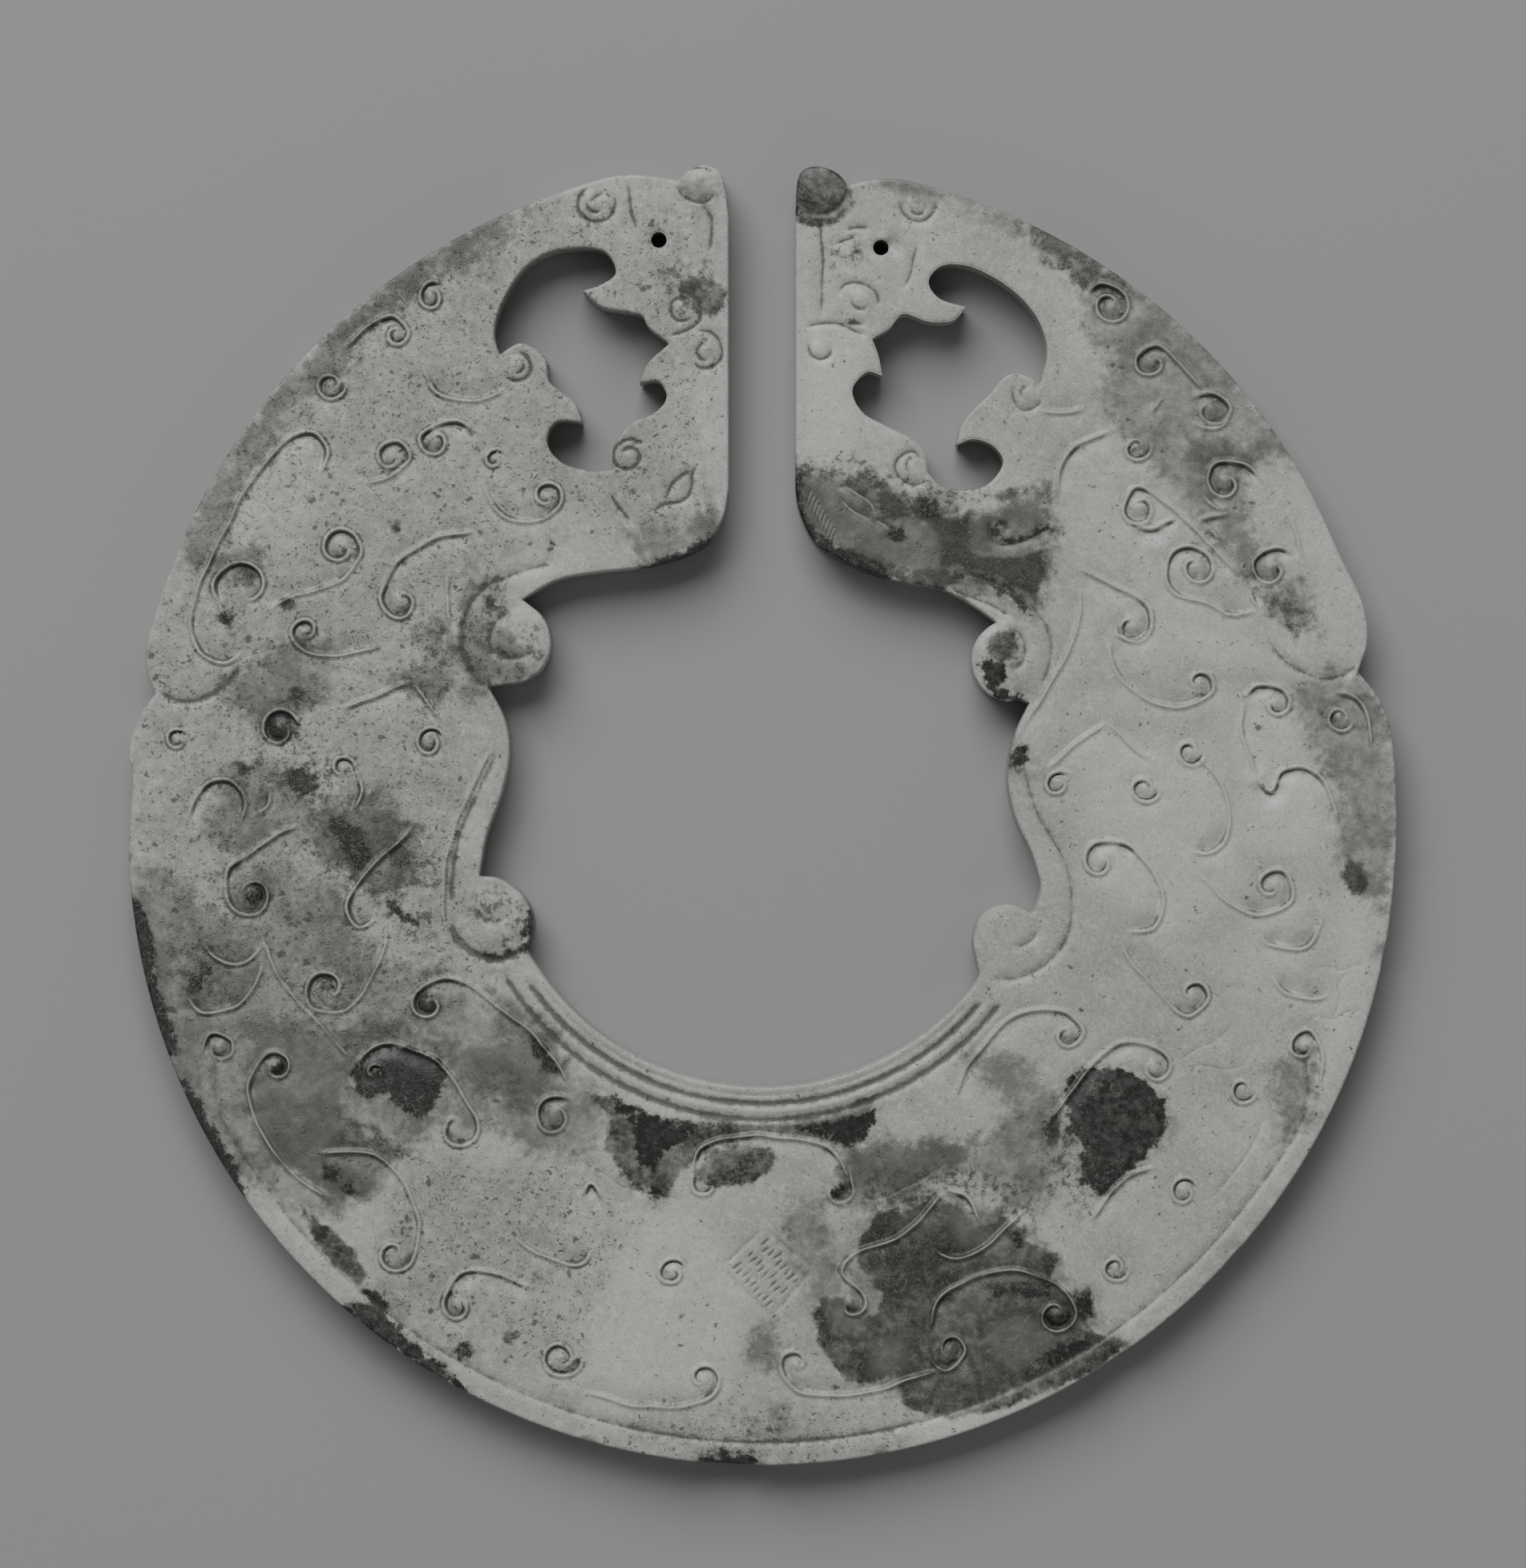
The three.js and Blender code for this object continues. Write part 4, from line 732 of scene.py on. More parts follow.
# What the stone took up in the ground. Near-black stains, as outlines and as round spots, and a few
# outlines of painted shadow at edges and under a boss:
black_stains_and_shadows = [
    [[47.6, -40], [50, -37.6], [55, -36.8], [60, -38.8], [63, -42], [63.6, -46], [61, -51],
     [57, -54.5], [54, -57.5], [50.8, -56], [50.6, -52], [51, -49], [48.6, -47], [48, -43.5]],
    [[-65, -38], [-63.4, -35.4], [-60, -33.8], [-56, -33.6], [-52, -35], [-49.6, -37.4],
     [-50, -40.4], [-51.4, -43.6], [-53.8, -45.2], [-57, -43.6], [-60, -41.2], [-62, -42],
     [-64.6, -40.6]],
    [[-69.4, 1.8], [-66.6, 2.2], [-63.2, 0.1], [-61.8, -4], [-63.4, -6.5], [-65.3, -4.4],
     [-66.6, -1.2]],
    [[-59, -2], [-57, -1.6], [-55.2, -3.4], [-56, -5.4], [-58.4, -5.6]],
    [[-60.6, -9.4], [-57, -12], [-53.8, -14.8], [-54.6, -15.4], [-58.6, -12.6]],
    [[-79, 15.8], [-77.6, 18.2], [-74.6, 19], [-72.8, 17.4], [-73.6, 14.8], [-76.6, 13.4]],
    [[-75, 8.6], [-73, 10.4], [-70.6, 9.2], [-69.4, 7], [-71, 5.4], [-73.8, 6.2]],
    [[-23.4, -41.6], [-20, -43.2], [-14, -45.4], [-10.6, -46.6], [-12, -49.6], [-15, -50.4],
     [-17, -53.6], [-19.4, -53], [-20.4, -49], [-20, -46], [-23, -44.4]],
    [[-20.8, -54.6], [-17.6, -56], [-15.8, -57.4], [-17.6, -58], [-20.4, -56.2]],
    [[5, -46.8], [12, -45.4], [18, -43.6], [17.4, -46.6], [14.4, -49.4], [10, -48]],
    [[43.6, -83.4], [47, -80.6], [52, -79.6], [51, -81.6], [46, -84.2]],
    [[43.4, -76], [45.4, -78.6], [48.6, -78.2], [48.4, -75.6], [46, -76.6]],
    [[48.6, -73.2], [51.4, -72.6], [52, -76], [50.2, -76.8]],
    [[38.6, -62.6], [40.8, -63], [41.8, -65.4], [39.6, -66]],
    [[34.6, -71.4], [40, -70.4], [45.8, -72], [43.6, -73.8], [39, -72.4], [35.4, -74]],
    # Upper right boss: a dark comma in it, and below its lower edge a painted shadow.
    [[34.2, 26.6], [36, 27.4], [38.2, 26.6], [38.4, 24], [37.6, 22.4], [40.6, 21.2], [42, 20.6],
     [40, 20], [36.8, 21], [34.8, 23.2]],
    [[-43.6, -19.6], [-41.3, -19.3], [-38.6, -18.2], [-36.8, -17.2], [-36.8, -18.6], [-39, -19.8],
     [-41.4, -20.6], [-43.6, -20.4]],
    [[-36.6, -11.4], [-35.6, -14], [-36.2, -17], [-37.4, -16.4], [-37, -13.4]],
    [[-36.4, -32.6], [-34.8, -33.2], [-32.4, -37.6], [-33.4, -38.4], [-36, -35]],
    [[39.8, 13.4], [41.6, 13.6], [42, 11], [40.6, 9.8], [39.2, 11.4]],
    # Along the lower left rim: painted shadow where the edge lies in shade.
    [[-66, -75], [-61, -74.6], [-54, -81], [-47.6, -86.6], [-46.4, -88.6], [-52, -85.6],
     [-60, -80.2]],
    [[-19, 41.6], [-15.6, 43], [-11.6, 44.8], [-8.4, 46.6], [-7.4, 45], [-12, 42.4],
     [-16, 41.2]],
    # Along the right chin's edge: painted shadow where its wall lies in shade.
    [[4.8, 57], [6.2, 57], [6.6, 50], [9.6, 46.8], [13.6, 44.2], [20, 41.8], [19.6, 39],
     [12, 41.8], [6, 46.6]],
    [[35.8, 48.8], [36.2, 46.2], [38.4, 45], [42, 45.6], [45.6, 47.8], [45, 48.6],
     [41.6, 46.8], [38.4, 46.4], [37.4, 48], [38.6, 48.8]],
    [[30, 40.4], [35, 39], [39.6, 36.4], [42, 33.6], [42.4, 35], [39.6, 38.2], [34.6, 40.4]],
    [[-10, -98.6], [-8.6, -97.6], [-7.4, -98.6], [-6.2, -96.6], [-5, -98.2], [-3, -97.8],
     [-0.4, -98.8], [-0.6, -101], [-10, -101]],
    [[-63, -72.4], [-60.4, -72.2], [-58.8, -75.6], [-60, -76.2]],
    # Along the outer left rim, two strips: painted shadow where the edge lies in shade.
    [[-100, -11], [-98, -11], [-96.4, -17], [-95, -26], [-92, -34], [-94, -36], [-100, -24]],
    [[-91.6, -39], [-90, -40], [-84, -51], [-80.6, -57.4], [-83, -59.6], [-90, -48]],
]
black_spots = [
    [-87.4, -21.6, 0.9], [-89.2, -24, 0.9], [-79.8, -9.8, 1.4], [-84.5, 33.6, 1.2],
    [-33, 45, 0.8], [-76, -37.3, 1.7], [-53, -26.8, 1.7], [-68, -53.6, 1.4], [-65, -56.6, 1],
    [-81.2, 9.6, 1.2], [-43, 36, 1.1], [45.8, -46.6, 1.4], [21.2, 46.8, 1.5], [26.4, 50.8, 1.3],
    [12, -56.6, 0.9], [-68.6, -24, 1.5], [-47, -82, 1.3], [-88.6, -22.6, 0.6],
]
# Dark grey stains, with crisp ragged edges.
dark_stains = [
    [[15, -68], [15.6, -64], [18.6, -60.4], [24, -59.4], [27.6, -57.4], [31, -59],
     [34, -62.4], [38, -60.4], [40.4, -61.4], [42.4, -64.4], [46.4, -67], [45.6, -70],
     [48, -72.4], [51.6, -72.2], [52.4, -76], [49.8, -77.8], [53.6, -79.6], [58.4, -80],
     [53.4, -84.2], [46, -88], [38, -91], [29.6, -93], [22.6, -91], [21.4, -85], [17.6, -87],
     [13, -86], [9.4, -81], [8.6, -76], [10, -73.4], [13, -73.4], [17.4, -76.6],
     [19.4, -73], [16.4, -70.4]],
    [[-27, -41], [-20, -43], [-10, -46.4], [0, -47.4], [8, -47], [6, -46], [0, -48.2],
     [-8, -49.6], [-11.4, -53], [-15, -57.6], [-20, -56], [-25.4, -50], [-24, -45]],
    [[-11, -55.4], [-9.4, -51], [-4, -49.4], [1.6, -50], [2, -53], [-2, -55.4], [-7, -56]],
    [[17.5, 56.6], [19.8, 55.4], [21.8, 53], [23, 50.5], [21.4, 48.8], [20, 48.4],
     [18.2, 51.6], [18, 54]],
    [[19.4, 48.2], [21.4, 48.6], [21.8, 46], [20, 45.4], [18.6, 46.4]],
    [[5, 54.6], [6.4, 52], [7.2, 47.8], [10.4, 45.4], [14, 44.6], [19, 43.2], [22, 41.6],
     [29, 41.6], [31, 39.4], [28, 38], [18, 40.6], [10, 44], [5.6, 48.6]],
    [[23.6, 52], [25.4, 52.4], [27, 50.2], [29.6, 49.2], [33, 50], [33.4, 46.6], [31.4, 44],
     [29.8, 41.6], [27.8, 42], [28, 45.6], [26.4, 48.4], [23.8, 49.4]],
    [[31, 45], [34, 43.6], [40, 43.4], [44.6, 44.6], [44.2, 40], [43.2, 37], [36, 40.4],
     [31, 42]],
    [[34.8, 52.6], [38, 54], [42, 54.4], [41.4, 52.8], [37, 51.6]],
    [[4, 104], [7, 106], [10.6, 105.6], [13.6, 102.6], [14.6, 99], [12.4, 96], [9, 95],
     [6, 95.6], [4, 99]],
    [[-13, 85.6], [-12, 87.6], [-8, 87.4], [-5.4, 85.6], [-5.8, 82.4], [-9, 81], [-12, 82.4]],
    [[50.4, 81.6], [51.2, 79.4], [50, 77.4], [49.4, 79.6]],
    [[92, -4], [94.6, -5], [95.4, -9], [93, -10], [91.4, -7]],
    [[-8, -45.6], [0, -45.8], [8, -45], [14, -43.4], [17.8, -41.6], [17, -45], [15.4, -49.4],
     [12, -49], [6, -48.2], [0, -47.6], [-6, -48]],
    [[-73.6, -58.6], [-70, -61], [-64, -66], [-62, -70], [-64, -71.6], [-70, -66]],
]
dark_spots = [
    [37.8, 29.3, 2.5], [-47.2, -14.8, 0.5], [-35.6, -70.4, 1], [-40, -79.8, 1.2],
    [-81.5, 40.2, 1.8], [-83.9, 32.8, 1.1], [-75, 36, 1], [-73.4, 21.7, 1.2],
    [-79, 26.5, 1], [-60.4, 28.9, 0.7], [-57.8, 48.2, 0.7], [14.4, 91, 0.8],
    [14, 80.6, 0.6],
]
# Places where small clots crowd together.
spatters = [
    [[-46.6, 32], [-43.6, 33.6], [-41.2, 31], [-41.6, 28.4], [-38.4, 27.4], [-38.4, 24.6],
     [-42, 23.4], [-45.6, 25.6], [-47.2, 29.4]],
    [[-44, 37], [-41, 38.4], [-39.4, 36], [-41.2, 33], [-44, 32.6]],
    [[-38, 33], [-35.4, 32.4], [-35.2, 28], [-37.8, 29]],
    [[-44.8, -10.4], [-42, -9.2], [-39.4, -10.6], [-39.2, -13], [-42, -13.8], [-44.6, -12.8]],
    [[-39.8, -12.6], [-36.6, -12], [-36.4, -16.8], [-39.6, -17]],
    [[-54.4, 31], [-49.8, 31.4], [-49, 26.4], [-52.4, 19.6], [-56, 21.4], [-54.8, 26]],
    [[-76, 13], [-69, 12.4], [-66.4, 6.6], [-70.4, 3.6], [-76, 6]],
    [[-84, 13], [-78, 12.6], [-77.4, 7.4], [-83, 6.4]],
    [[-73, -0.4], [-68, 3.4], [-60, 2.6], [-53.4, 0], [-51.6, -8], [-56, -9], [-64, -8.6],
     [-72, -5.4]],
    [[-61, -8], [-57.4, -9], [-51.6, -15], [-54.6, -17.4], [-60.4, -12.6]],
    [[-43.4, -38.4], [-39.6, -37.8], [-38, -41.6], [-42.6, -42.8]],
    [[-91, -18.6], [-85.6, -18.6], [-85, -24.6], [-90, -26]],
    [[-67, -44], [-60, -47.6], [-55, -50.6], [-59, -54], [-66, -51]],
    [[16, -56.4], [22, -58.6], [30, -56], [37, -58.6], [42, -61.6], [41, -56], [30, -53],
     [18, -53.4]],
    [[46, -44], [51, -47], [54, -56.6], [50, -59.4], [44.4, -56], [44.6, -48]],
    [[41, 97], [47, 94], [57.4, 86], [54, 83], [46.6, 88.6]],
    [[77, 39.8], [82, 37.4], [87.4, 32], [84, 30.6], [78.6, 36.4]],
    [[4.8, 58], [12, 55], [20, 49], [30, 49.6], [36, 52], [34, 56], [24, 54.6], [12, 59.6]],
    [[10, 93], [15, 93], [16.4, 88.6], [11, 88]], [[-16, 89.6], [-9, 89.4], [-6, 81], [-13, 81]],
]
# Grey clouds, which fade out. The one at the inner rim is among the thick ones too.
rim_cloud = [
    [14.4, -50], [20, -48.8], [28, -49.8], [33, -48.6], [32, -53], [27, -54.6],
    [21, -57.6], [14.6, -58], [11.6, -56], [12.6, -52.6],
]
grey_clouds = [
    rim_cloud,
    [[5, 57.6], [9, 55.8], [13, 55.4], [17, 56.6], [21, 54], [23.4, 51], [28, 50.6],
     [33, 50], [37, 50.6], [41, 53.4], [44.6, 54], [45.6, 48], [44.2, 42], [43.4, 37],
     [42, 33.6], [36, 37], [30, 38], [22, 39.4], [14, 41.4], [8, 44], [5, 50]],
    [[42, 97], [43.4, 91.4], [47.6, 88.8], [50.4, 84], [50.4, 80], [51.8, 77], [54.8, 74.3],
     [55, 65.6], [55.2, 63.5], [60, 58.7], [65.7, 53], [70.5, 47], [74.4, 43], [77, 40],
     [81.8, 36], [84, 31.4], [88, 31], [86.4, 36], [82, 41], [78, 45], [76, 50], [77, 56],
     [80, 59], [84, 59], [72, 75], [60, 86], [50, 93]],
    [[84, 22], [86, 14], [89.4, 9], [90.8, 2], [91.2, -4], [94, -9], [97.6, -12], [100, -4],
     [100, 8], [98.6, 17], [96, 22], [90, 26]],
    [[17.8, 103], [20, 101.4], [27.4, 99], [33, 97.4], [41, 95.4], [43, 97.6], [34, 101.4],
     [27, 103.2], [20, 104]],
    [[-13.8, 104], [-12, 100], [-9, 99.4], [-7.6, 101], [-10.5, 102.5], [-11, 105]],
    [[-21, 47], [-14, 48.4], [-8, 50], [-6, 46], [-12, 42], [-19, 41]],
    [[-86, -6], [-78, -4], [-68, -8], [-62, -18], [-70, -22], [-82, -18]],
    [[-38, 99], [-42, 98], [-50, 93.6], [-60, 86], [-70, 77], [-79, 67], [-88, 52],
     [-91, 42], [-86, 43], [-82, 54], [-76, 63], [-66, 73], [-58, 82.6], [-50, 88],
     [-43, 88.6], [-40, 93]],
    [[-100, -4], [-92, -8], [-84, -14], [-76, -18], [-68, -18], [-60, -20], [-50, -22],
     [-38, -30], [-30, -38], [-24, -44], [-26, -52], [-36, -50], [-44, -46], [-52, -46],
     [-60, -54], [-66, -60], [-74, -60], [-86, -52], [-95, -36], [-100, -20]],
    [[-84, 24], [-76, 29], [-68, 29], [-67, 21], [-78, 17], [-84, 20]],
    [[-56, 34], [-50, 34], [-48, 26], [-52, 20], [-58, 23], [-54, 28]],
    [[-60, 6], [-70, 4], [-78, 12], [-84, 12], [-88, 0], [-80, -6], [-72, -2], [-62, -8],
     [-54, -6]],
    [[3, -58], [8, -60], [10, -66], [14, -72], [11, -75], [6, -68]],
    [[33, -36], [42, -36], [47, -42], [47, -50], [45, -59], [38, -60], [32, -52], [39, -44]],
    [[-46, 40], [-41, 39], [-39, 34], [-37, 24], [-46, 22], [-48, 32]],
    [[-1.6, -84], [1, -84.4], [2.8, -82], [1, -79.6], [-1.6, -80.4]],
    [[0.6, -92], [2.6, -91.2], [3, -93.6], [0.8, -94]], [[-2.4, -92.6], [-0.4, -92.6], [-1, -94.2]],
    [[80, -38], [86, -34], [88, -40], [86, -47], [82, -48]],
    [[12, -73], [17, -87], [30, -92], [46, -86], [52, -78], [46, -66], [38, -60], [26, -58],
     [17, -62]],
]
thick_clouds = [
    rim_cloud,
    [[5, 57.6], [17, 56.6], [23.4, 51], [33, 50], [44.6, 54], [45.6, 48], [43.4, 37], [36, 37],
     [22, 39.4], [8, 44], [5, 50]],
    [[42, 97], [47.6, 88.8], [54, 83], [60, 84], [50, 93]],
    [[66, 63], [73, 62.6], [79, 60], [76, 57], [67, 58.6]],
    [[78, 40], [82, 37], [87, 32], [84, 31], [79, 36.6]],
    [[-42, 98], [-41.4, 93.6], [-46, 91], [-52, 88.6], [-60, 80.6], [-66, 75.6], [-68, 78],
     [-60, 86], [-50, 93]],
    [[-69, -38], [-67, -42], [-63, -46], [-58, -48.6], [-56, -51], [-60.4, -53], [-65, -50],
     [-68.4, -45]],
    [[-81, -30], [-72, -29], [-64, -30], [-54, -31], [-45, -33], [-37, -31], [-32, -37],
     [-36, -44], [-43, -42], [-49, -37], [-55, -33], [-63, -34], [-64, -38], [-66, -44],
     [-58, -50], [-60, -57], [-67, -58], [-78, -52], [-82, -42]],
    [[-44, -24], [-36, -28], [-32, -32], [-36, -36], [-42, -30]],
    [[-87, 43], [-80, 44.6], [-77, 42], [-81, 39.6], [-86, 40]],
    [[-70, 5], [-62, 5], [-54, 1], [-54, -8], [-60, -9], [-66, -6], [-72, -4]],
]
pale_areas = [
    [[72, 21], [75, 10], [75, -3], [88, -3], [89.4, 8], [85, 14], [82, 21]],
    [[50, 16], [72, 14], [76, -8], [64, -16], [52, -8]], [[62, 34], [74, 32], [80, 28], [70, 26]],
    [[84, 54], [90, 46], [93, 36], [86, 44]],
    [[-30, -58], [-10, -60], [-2, -72], [-6, -88], [-24, -90], [-34, -74]],
    [[6, 80], [16, 78], [14, 60], [6, 58]], [[-16, 72], [-6, 72], [-6, 60], [-14, 60]],
    [[-79, 60], [-72, 62], [-69, 58], [-70, 50], [-72, 44], [-82, 42], [-86, 46], [-83, 54]],
    [[93, -9], [97, -13], [96, -22], [93, -33], [88.5, -40], [88, -33], [90, -24], [91, -14]],
    [[14, -92], [46, -89], [30, -97], [10, -97]],
]
# Grey veils that lie over the dark stains.
veils = [
    [[36, -77.6], [41, -77], [45, -79.4], [44.6, -83], [39, -84], [36, -81]],
    [[17.4, -80.6], [22, -80], [22.6, -84.6], [18.4, -85.6]],
    [[29.6, -60], [35, -60], [37, -65], [31.6, -64.6]],
    [[11.2, -72.8], [14.6, -72.4], [15.4, -77], [12.2, -78]],
    [[21.6, 47], [25, 48.4], [27.6, 45.8], [27.2, 42], [24, 40.6], [21.8, 42.6]],
    [[6.6, 51], [8.4, 55.4], [12, 50.6], [12.4, 46], [9.6, 45.6]],
    [[12, 48.6], [16, 48.8], [19.4, 46.4], [19.4, 43], [14, 44]],
    [[34, 52], [38, 53], [43, 52], [44, 48], [39, 46], [35.6, 44], [33.6, 46]],
    [[24, -50.4], [30, -50], [31, -52.4], [26, -53]], [[-17.6, -47.6], [-13, -48], [-15, -50.6]],
]
speckled = [
    [[-60, 88], [-82, 62], [-96, 30], [-98, 0], [-90, -30], [-60, -36], [-46, -20],
     [-48, 10], [-38, 50], [-10, 48], [-7, 76], [-9, 92], [-16, 100], [-40, 99]],
    [[-56, -50], [-30, -52], [-20, -62], [-30, -88], [-60, -74]],
    [[-24, -92], [0, -90], [24, -92], [24, -99], [0, -101], [-24, -99]],
]


STAIN_REACH = 8.0


def depth_in(points, outlines, spots=()):
    """How far inside any of the outlines or spots each point lies, in hundredths."""
    depth = np.full(len(points), -STAIN_REACH)
    for corners in outlines:
        loop = metres(corners + corners[:1])
        reach = STAIN_REACH * unit
        near = ((points > loop.min(0) - reach) & (points < loop.max(0) + reach)).all(1)
        near = np.flatnonzero(near)
        away = np.abs(across(points[near], loop)[0]) / unit
        signed = np.where(within(points[near], loop[:-1]), away, -away)
        depth[near] = np.maximum(depth[near], signed)
    for x, y, radius in spots:
        away = np.linalg.norm(points - metres([x, y]), axis=1) / unit
        depth = np.maximum(depth, radius - away)
    return np.minimum(depth, STAIN_REACH)


flat = vertices[:, :2]
rest = np.zeros(len(walls))
fields = {
    "black": depth_in(flat, black_stains_and_shadows, black_spots),
    "dark": depth_in(flat, dark_stains, dark_spots), "veil": depth_in(flat, veils),
    "spatter": depth_in(flat, spatters),
    "cloud": depth_in(flat, grey_clouds), "thick": depth_in(flat, thick_clouds),
    "pale": depth_in(flat, pale_areas), "speckled": depth_in(flat, speckled),
    "dirt_and_shade": np.r_[dirt_and_shade, rest, back_dirt_and_shade], "wear_and_highlight": np.r_[wear_and_highlight, rest, back_wear_and_highlight],
}
for name, values in fields.items():
    layer = ring_mesh.attributes.new(name, "FLOAT", "POINT")
    layer.data.foreach_set("value", values.astype(np.float32))


class Shade:
    """A socket of a material. Sums written on it add Math nodes."""

    def __init__(self, tree, socket=None):
        self.tree, self.socket = tree, socket

    def node(self, kind, settings, inputs, output=0):
        """A node of a kind, its settings first, then the values or links of its sockets."""
        made = self.tree.nodes.new("ShaderNode" + kind)
        for name, value in settings.items():
            setattr(made, name, value)
        for name, value in inputs.items():
            if isinstance(value, Shade):
                self.tree.links.new(value.socket, made.inputs[name])
            else:
                made.inputs[name].default_value = value
        return None if output is None else Shade(self.tree, made.outputs[output])

    def maths(self, operation, *values):
        return self.node("Math", {"operation": operation}, dict(enumerate(values)))

    def __add__(self, other):
        return self.maths("ADD", self, other)

    def __radd__(self, other):
        return self.maths("ADD", other, self)

    def __sub__(self, other):
        return self.maths("SUBTRACT", self, other)

    def __rsub__(self, other):
        return self.maths("SUBTRACT", other, self)

    def __mul__(self, other):
        return self.maths("MULTIPLY", self, other)

    def __rmul__(self, other):
        return self.maths("MULTIPLY", other, self)

    def step(self, start, end):
        """0 below the start, 1 above the end, and smooth between."""
        return self.node("MapRange", {"interpolation_type": "SMOOTHSTEP"},
                         {"Value": self, "From Min": start, "From Max": end})


stone = bpy.data.materials.new("weathered_nephrite")
stone.use_nodes = True
tree = stone.node_tree
tree.nodes.clear()
paint = Shade(tree)
place = paint.node("TexCoord", {}, {}, "Object")


def mottle(scale, detail, roughness=0.55, distortion=0.0):
    """Cloudy noise with features of one part in a scale of a metre."""
    return paint.node("TexNoise", {}, {"Vector": place, "Scale": scale, "Detail": detail,
                                       "Roughness": roughness, "Distortion": distortion}, "Fac")


def field(name):
    return paint.node("Attribute", {"attribute_name": name}, {}, "Fac")


def tint(amount, under, over):
    """One colour laid over another."""
    return paint.node("Mix", {"data_type": "RGBA"}, {0: amount, 6: under, 7: over}, 2)


# The stone's own tones, from the clean body to the deepest stain, and what lies on them; the dirt,
# black and pale worn tones also paint shade, shadow and highlight.
PALE_BODY, GREY_BODY = (0.395, 0.397, 0.374, 1), (0.312, 0.314, 0.294, 1)
MOTTLE_GREY, LIGHT_PATCH = (0.23, 0.232, 0.215, 1), (0.50, 0.50, 0.474, 1)
WEATHERED, GRAIN_SHADE = (0.17, 0.171, 0.158, 1), (0.16, 0.16, 0.15, 1)
CHALK, CHALK_BLOOM = (0.64, 0.64, 0.61, 1), (0.66, 0.66, 0.63, 1)
CLOUD, THICK_CLOUD = (0.10, 0.101, 0.092, 1), (0.06, 0.06, 0.054, 1)
STAIN, BLACK_STAIN_AND_SHADOW = (0.021, 0.0205, 0.018, 1), (0.010, 0.0098, 0.0085, 1)
STAIN_HALO, STAIN_VEIL = (0.06, 0.059, 0.053, 1), (0.24, 0.241, 0.224, 1)
CLOT, PALE_FIBRE = (0.03, 0.029, 0.026, 1), (0.25, 0.25, 0.235, 1)
DIRT_AND_SHADE, DUST, WORN_EDGE_AND_HIGHLIGHT = (0.04, 0.039, 0.034, 1), (0.085, 0.084, 0.077, 1), (0.47, 0.47, 0.443, 1)

# Four sizes of mottling, from about 20 mm down to the stone's grain. Three of them together make
# the edges of clouds and stains ragged.
broad, middle = mottle(45, 4), mottle(170, 5, 0.62, 0.4)
fine, grain = mottle(700, 4, 0.7), mottle(2600, 2, 0.6)
patchy, dotted = middle.step(0.36, 0.64), fine.step(0.36, 0.64)
ragged = (broad - 0.5) * 5 + (middle - 0.5) * 6 + (fine - 0.5) * 5
thickly = (field("speckled") + ragged).step(-4, 4)

# The body: pale and grey nephrite, more weathered to one side, with a chalky grain.
colour = tint(broad.step(0.36, 0.64), PALE_BODY, GREY_BODY)
colour = tint(middle.step(0.44, 0.70) * 0.42, colour, MOTTLE_GREY)
colour = tint((field("pale") + ragged).step(-3, 3) * 0.6, colour, LIGHT_PATCH)
colour = tint(thickly * (0.22 + (middle - 0.4) * 0.7), colour, WEATHERED)
colour = tint(grain.step(0.40, 0.75) * 0.30, colour, CHALK)
colour = tint((1 - grain).step(0.42, 0.72) * 0.26, colour, GRAIN_SHADE)
colour = tint((1 - fine).step(0.52, 0.72) * 0.20, colour, CHALK_BLOOM)

# Clouds and stains, from the faintest to the deepest, with a grey veil over some dark ones; the
# black also lays painted shadow along a few edges and under a boss.
cloud = (field("cloud") + ragged).step(-2.2, 1.4)
colour = tint(cloud * (0.40 + patchy * 0.3 + dotted * 0.16), colour, CLOUD)
thick = (field("thick") + ragged).step(-1.8, 1.6)
colour = tint(thick * (0.3 + middle * 0.6), colour, THICK_CLOUD)
dark = (field("dark") + ragged * 0.35).step(-0.45, 0.5)
colour = tint(dark * (0.56 + patchy * 0.28 + dotted * 0.2), colour, STAIN)
veil = (field("veil") + ragged * 0.7).step(-1.6, 1.2)
colour = tint(veil * (0.04 + middle * 0.42) * dark.step(0, 1), colour, STAIN_VEIL)
# A darker halo round the black, round its painted shadow as well.
halo = (field("black") + ragged).step(-2.6, 0.6)
colour = tint(halo * (0.05 + middle * 0.5), colour, STAIN_HALO)
# Black covers real stains and, at a few edges and under a boss, painted shadow.
black = (field("black") + ragged * 0.3 + (fine - 0.5) * 2.6).step(-0.4, 0.4)
colour = tint(black * (0.82 + dotted * 0.18), colour, BLACK_STAIN_AND_SHADOW)

# Clots, pale fibres in the stains, and dirt and painted shade in the cuts and beside the threads.
clots = (fine * 0.65 + grain * 0.35).step(0.50, 0.57)
spatter = (field("spatter") + ragged * 0.7).step(-1.4, 0.8) * clots
colour = tint(spatter * 0.7, colour, CLOT)
fibre = 1 - paint.maths("ABSOLUTE", mottle(330, 3, 0.6, 1.4) - 0.5) * 42
fibre = fibre.step(0, 1) * (dark + black).step(0, 1) * middle.step(0.46, 0.6)
colour = tint(fibre * 0.38, colour, PALE_FIBRE)
# The cuts and the feet of the threads darkened: partly dirt, partly painted shade.
dirt_and_shade = field("dirt_and_shade") * (0.35 + middle * 1.1 + thickly * 0.4) + (fine - 0.5) * 0.9
dirt_and_shade = dirt_and_shade.step(0.22, 0.8)
colour = tint(dirt_and_shade * 0.78, colour, DIRT_AND_SHADE)

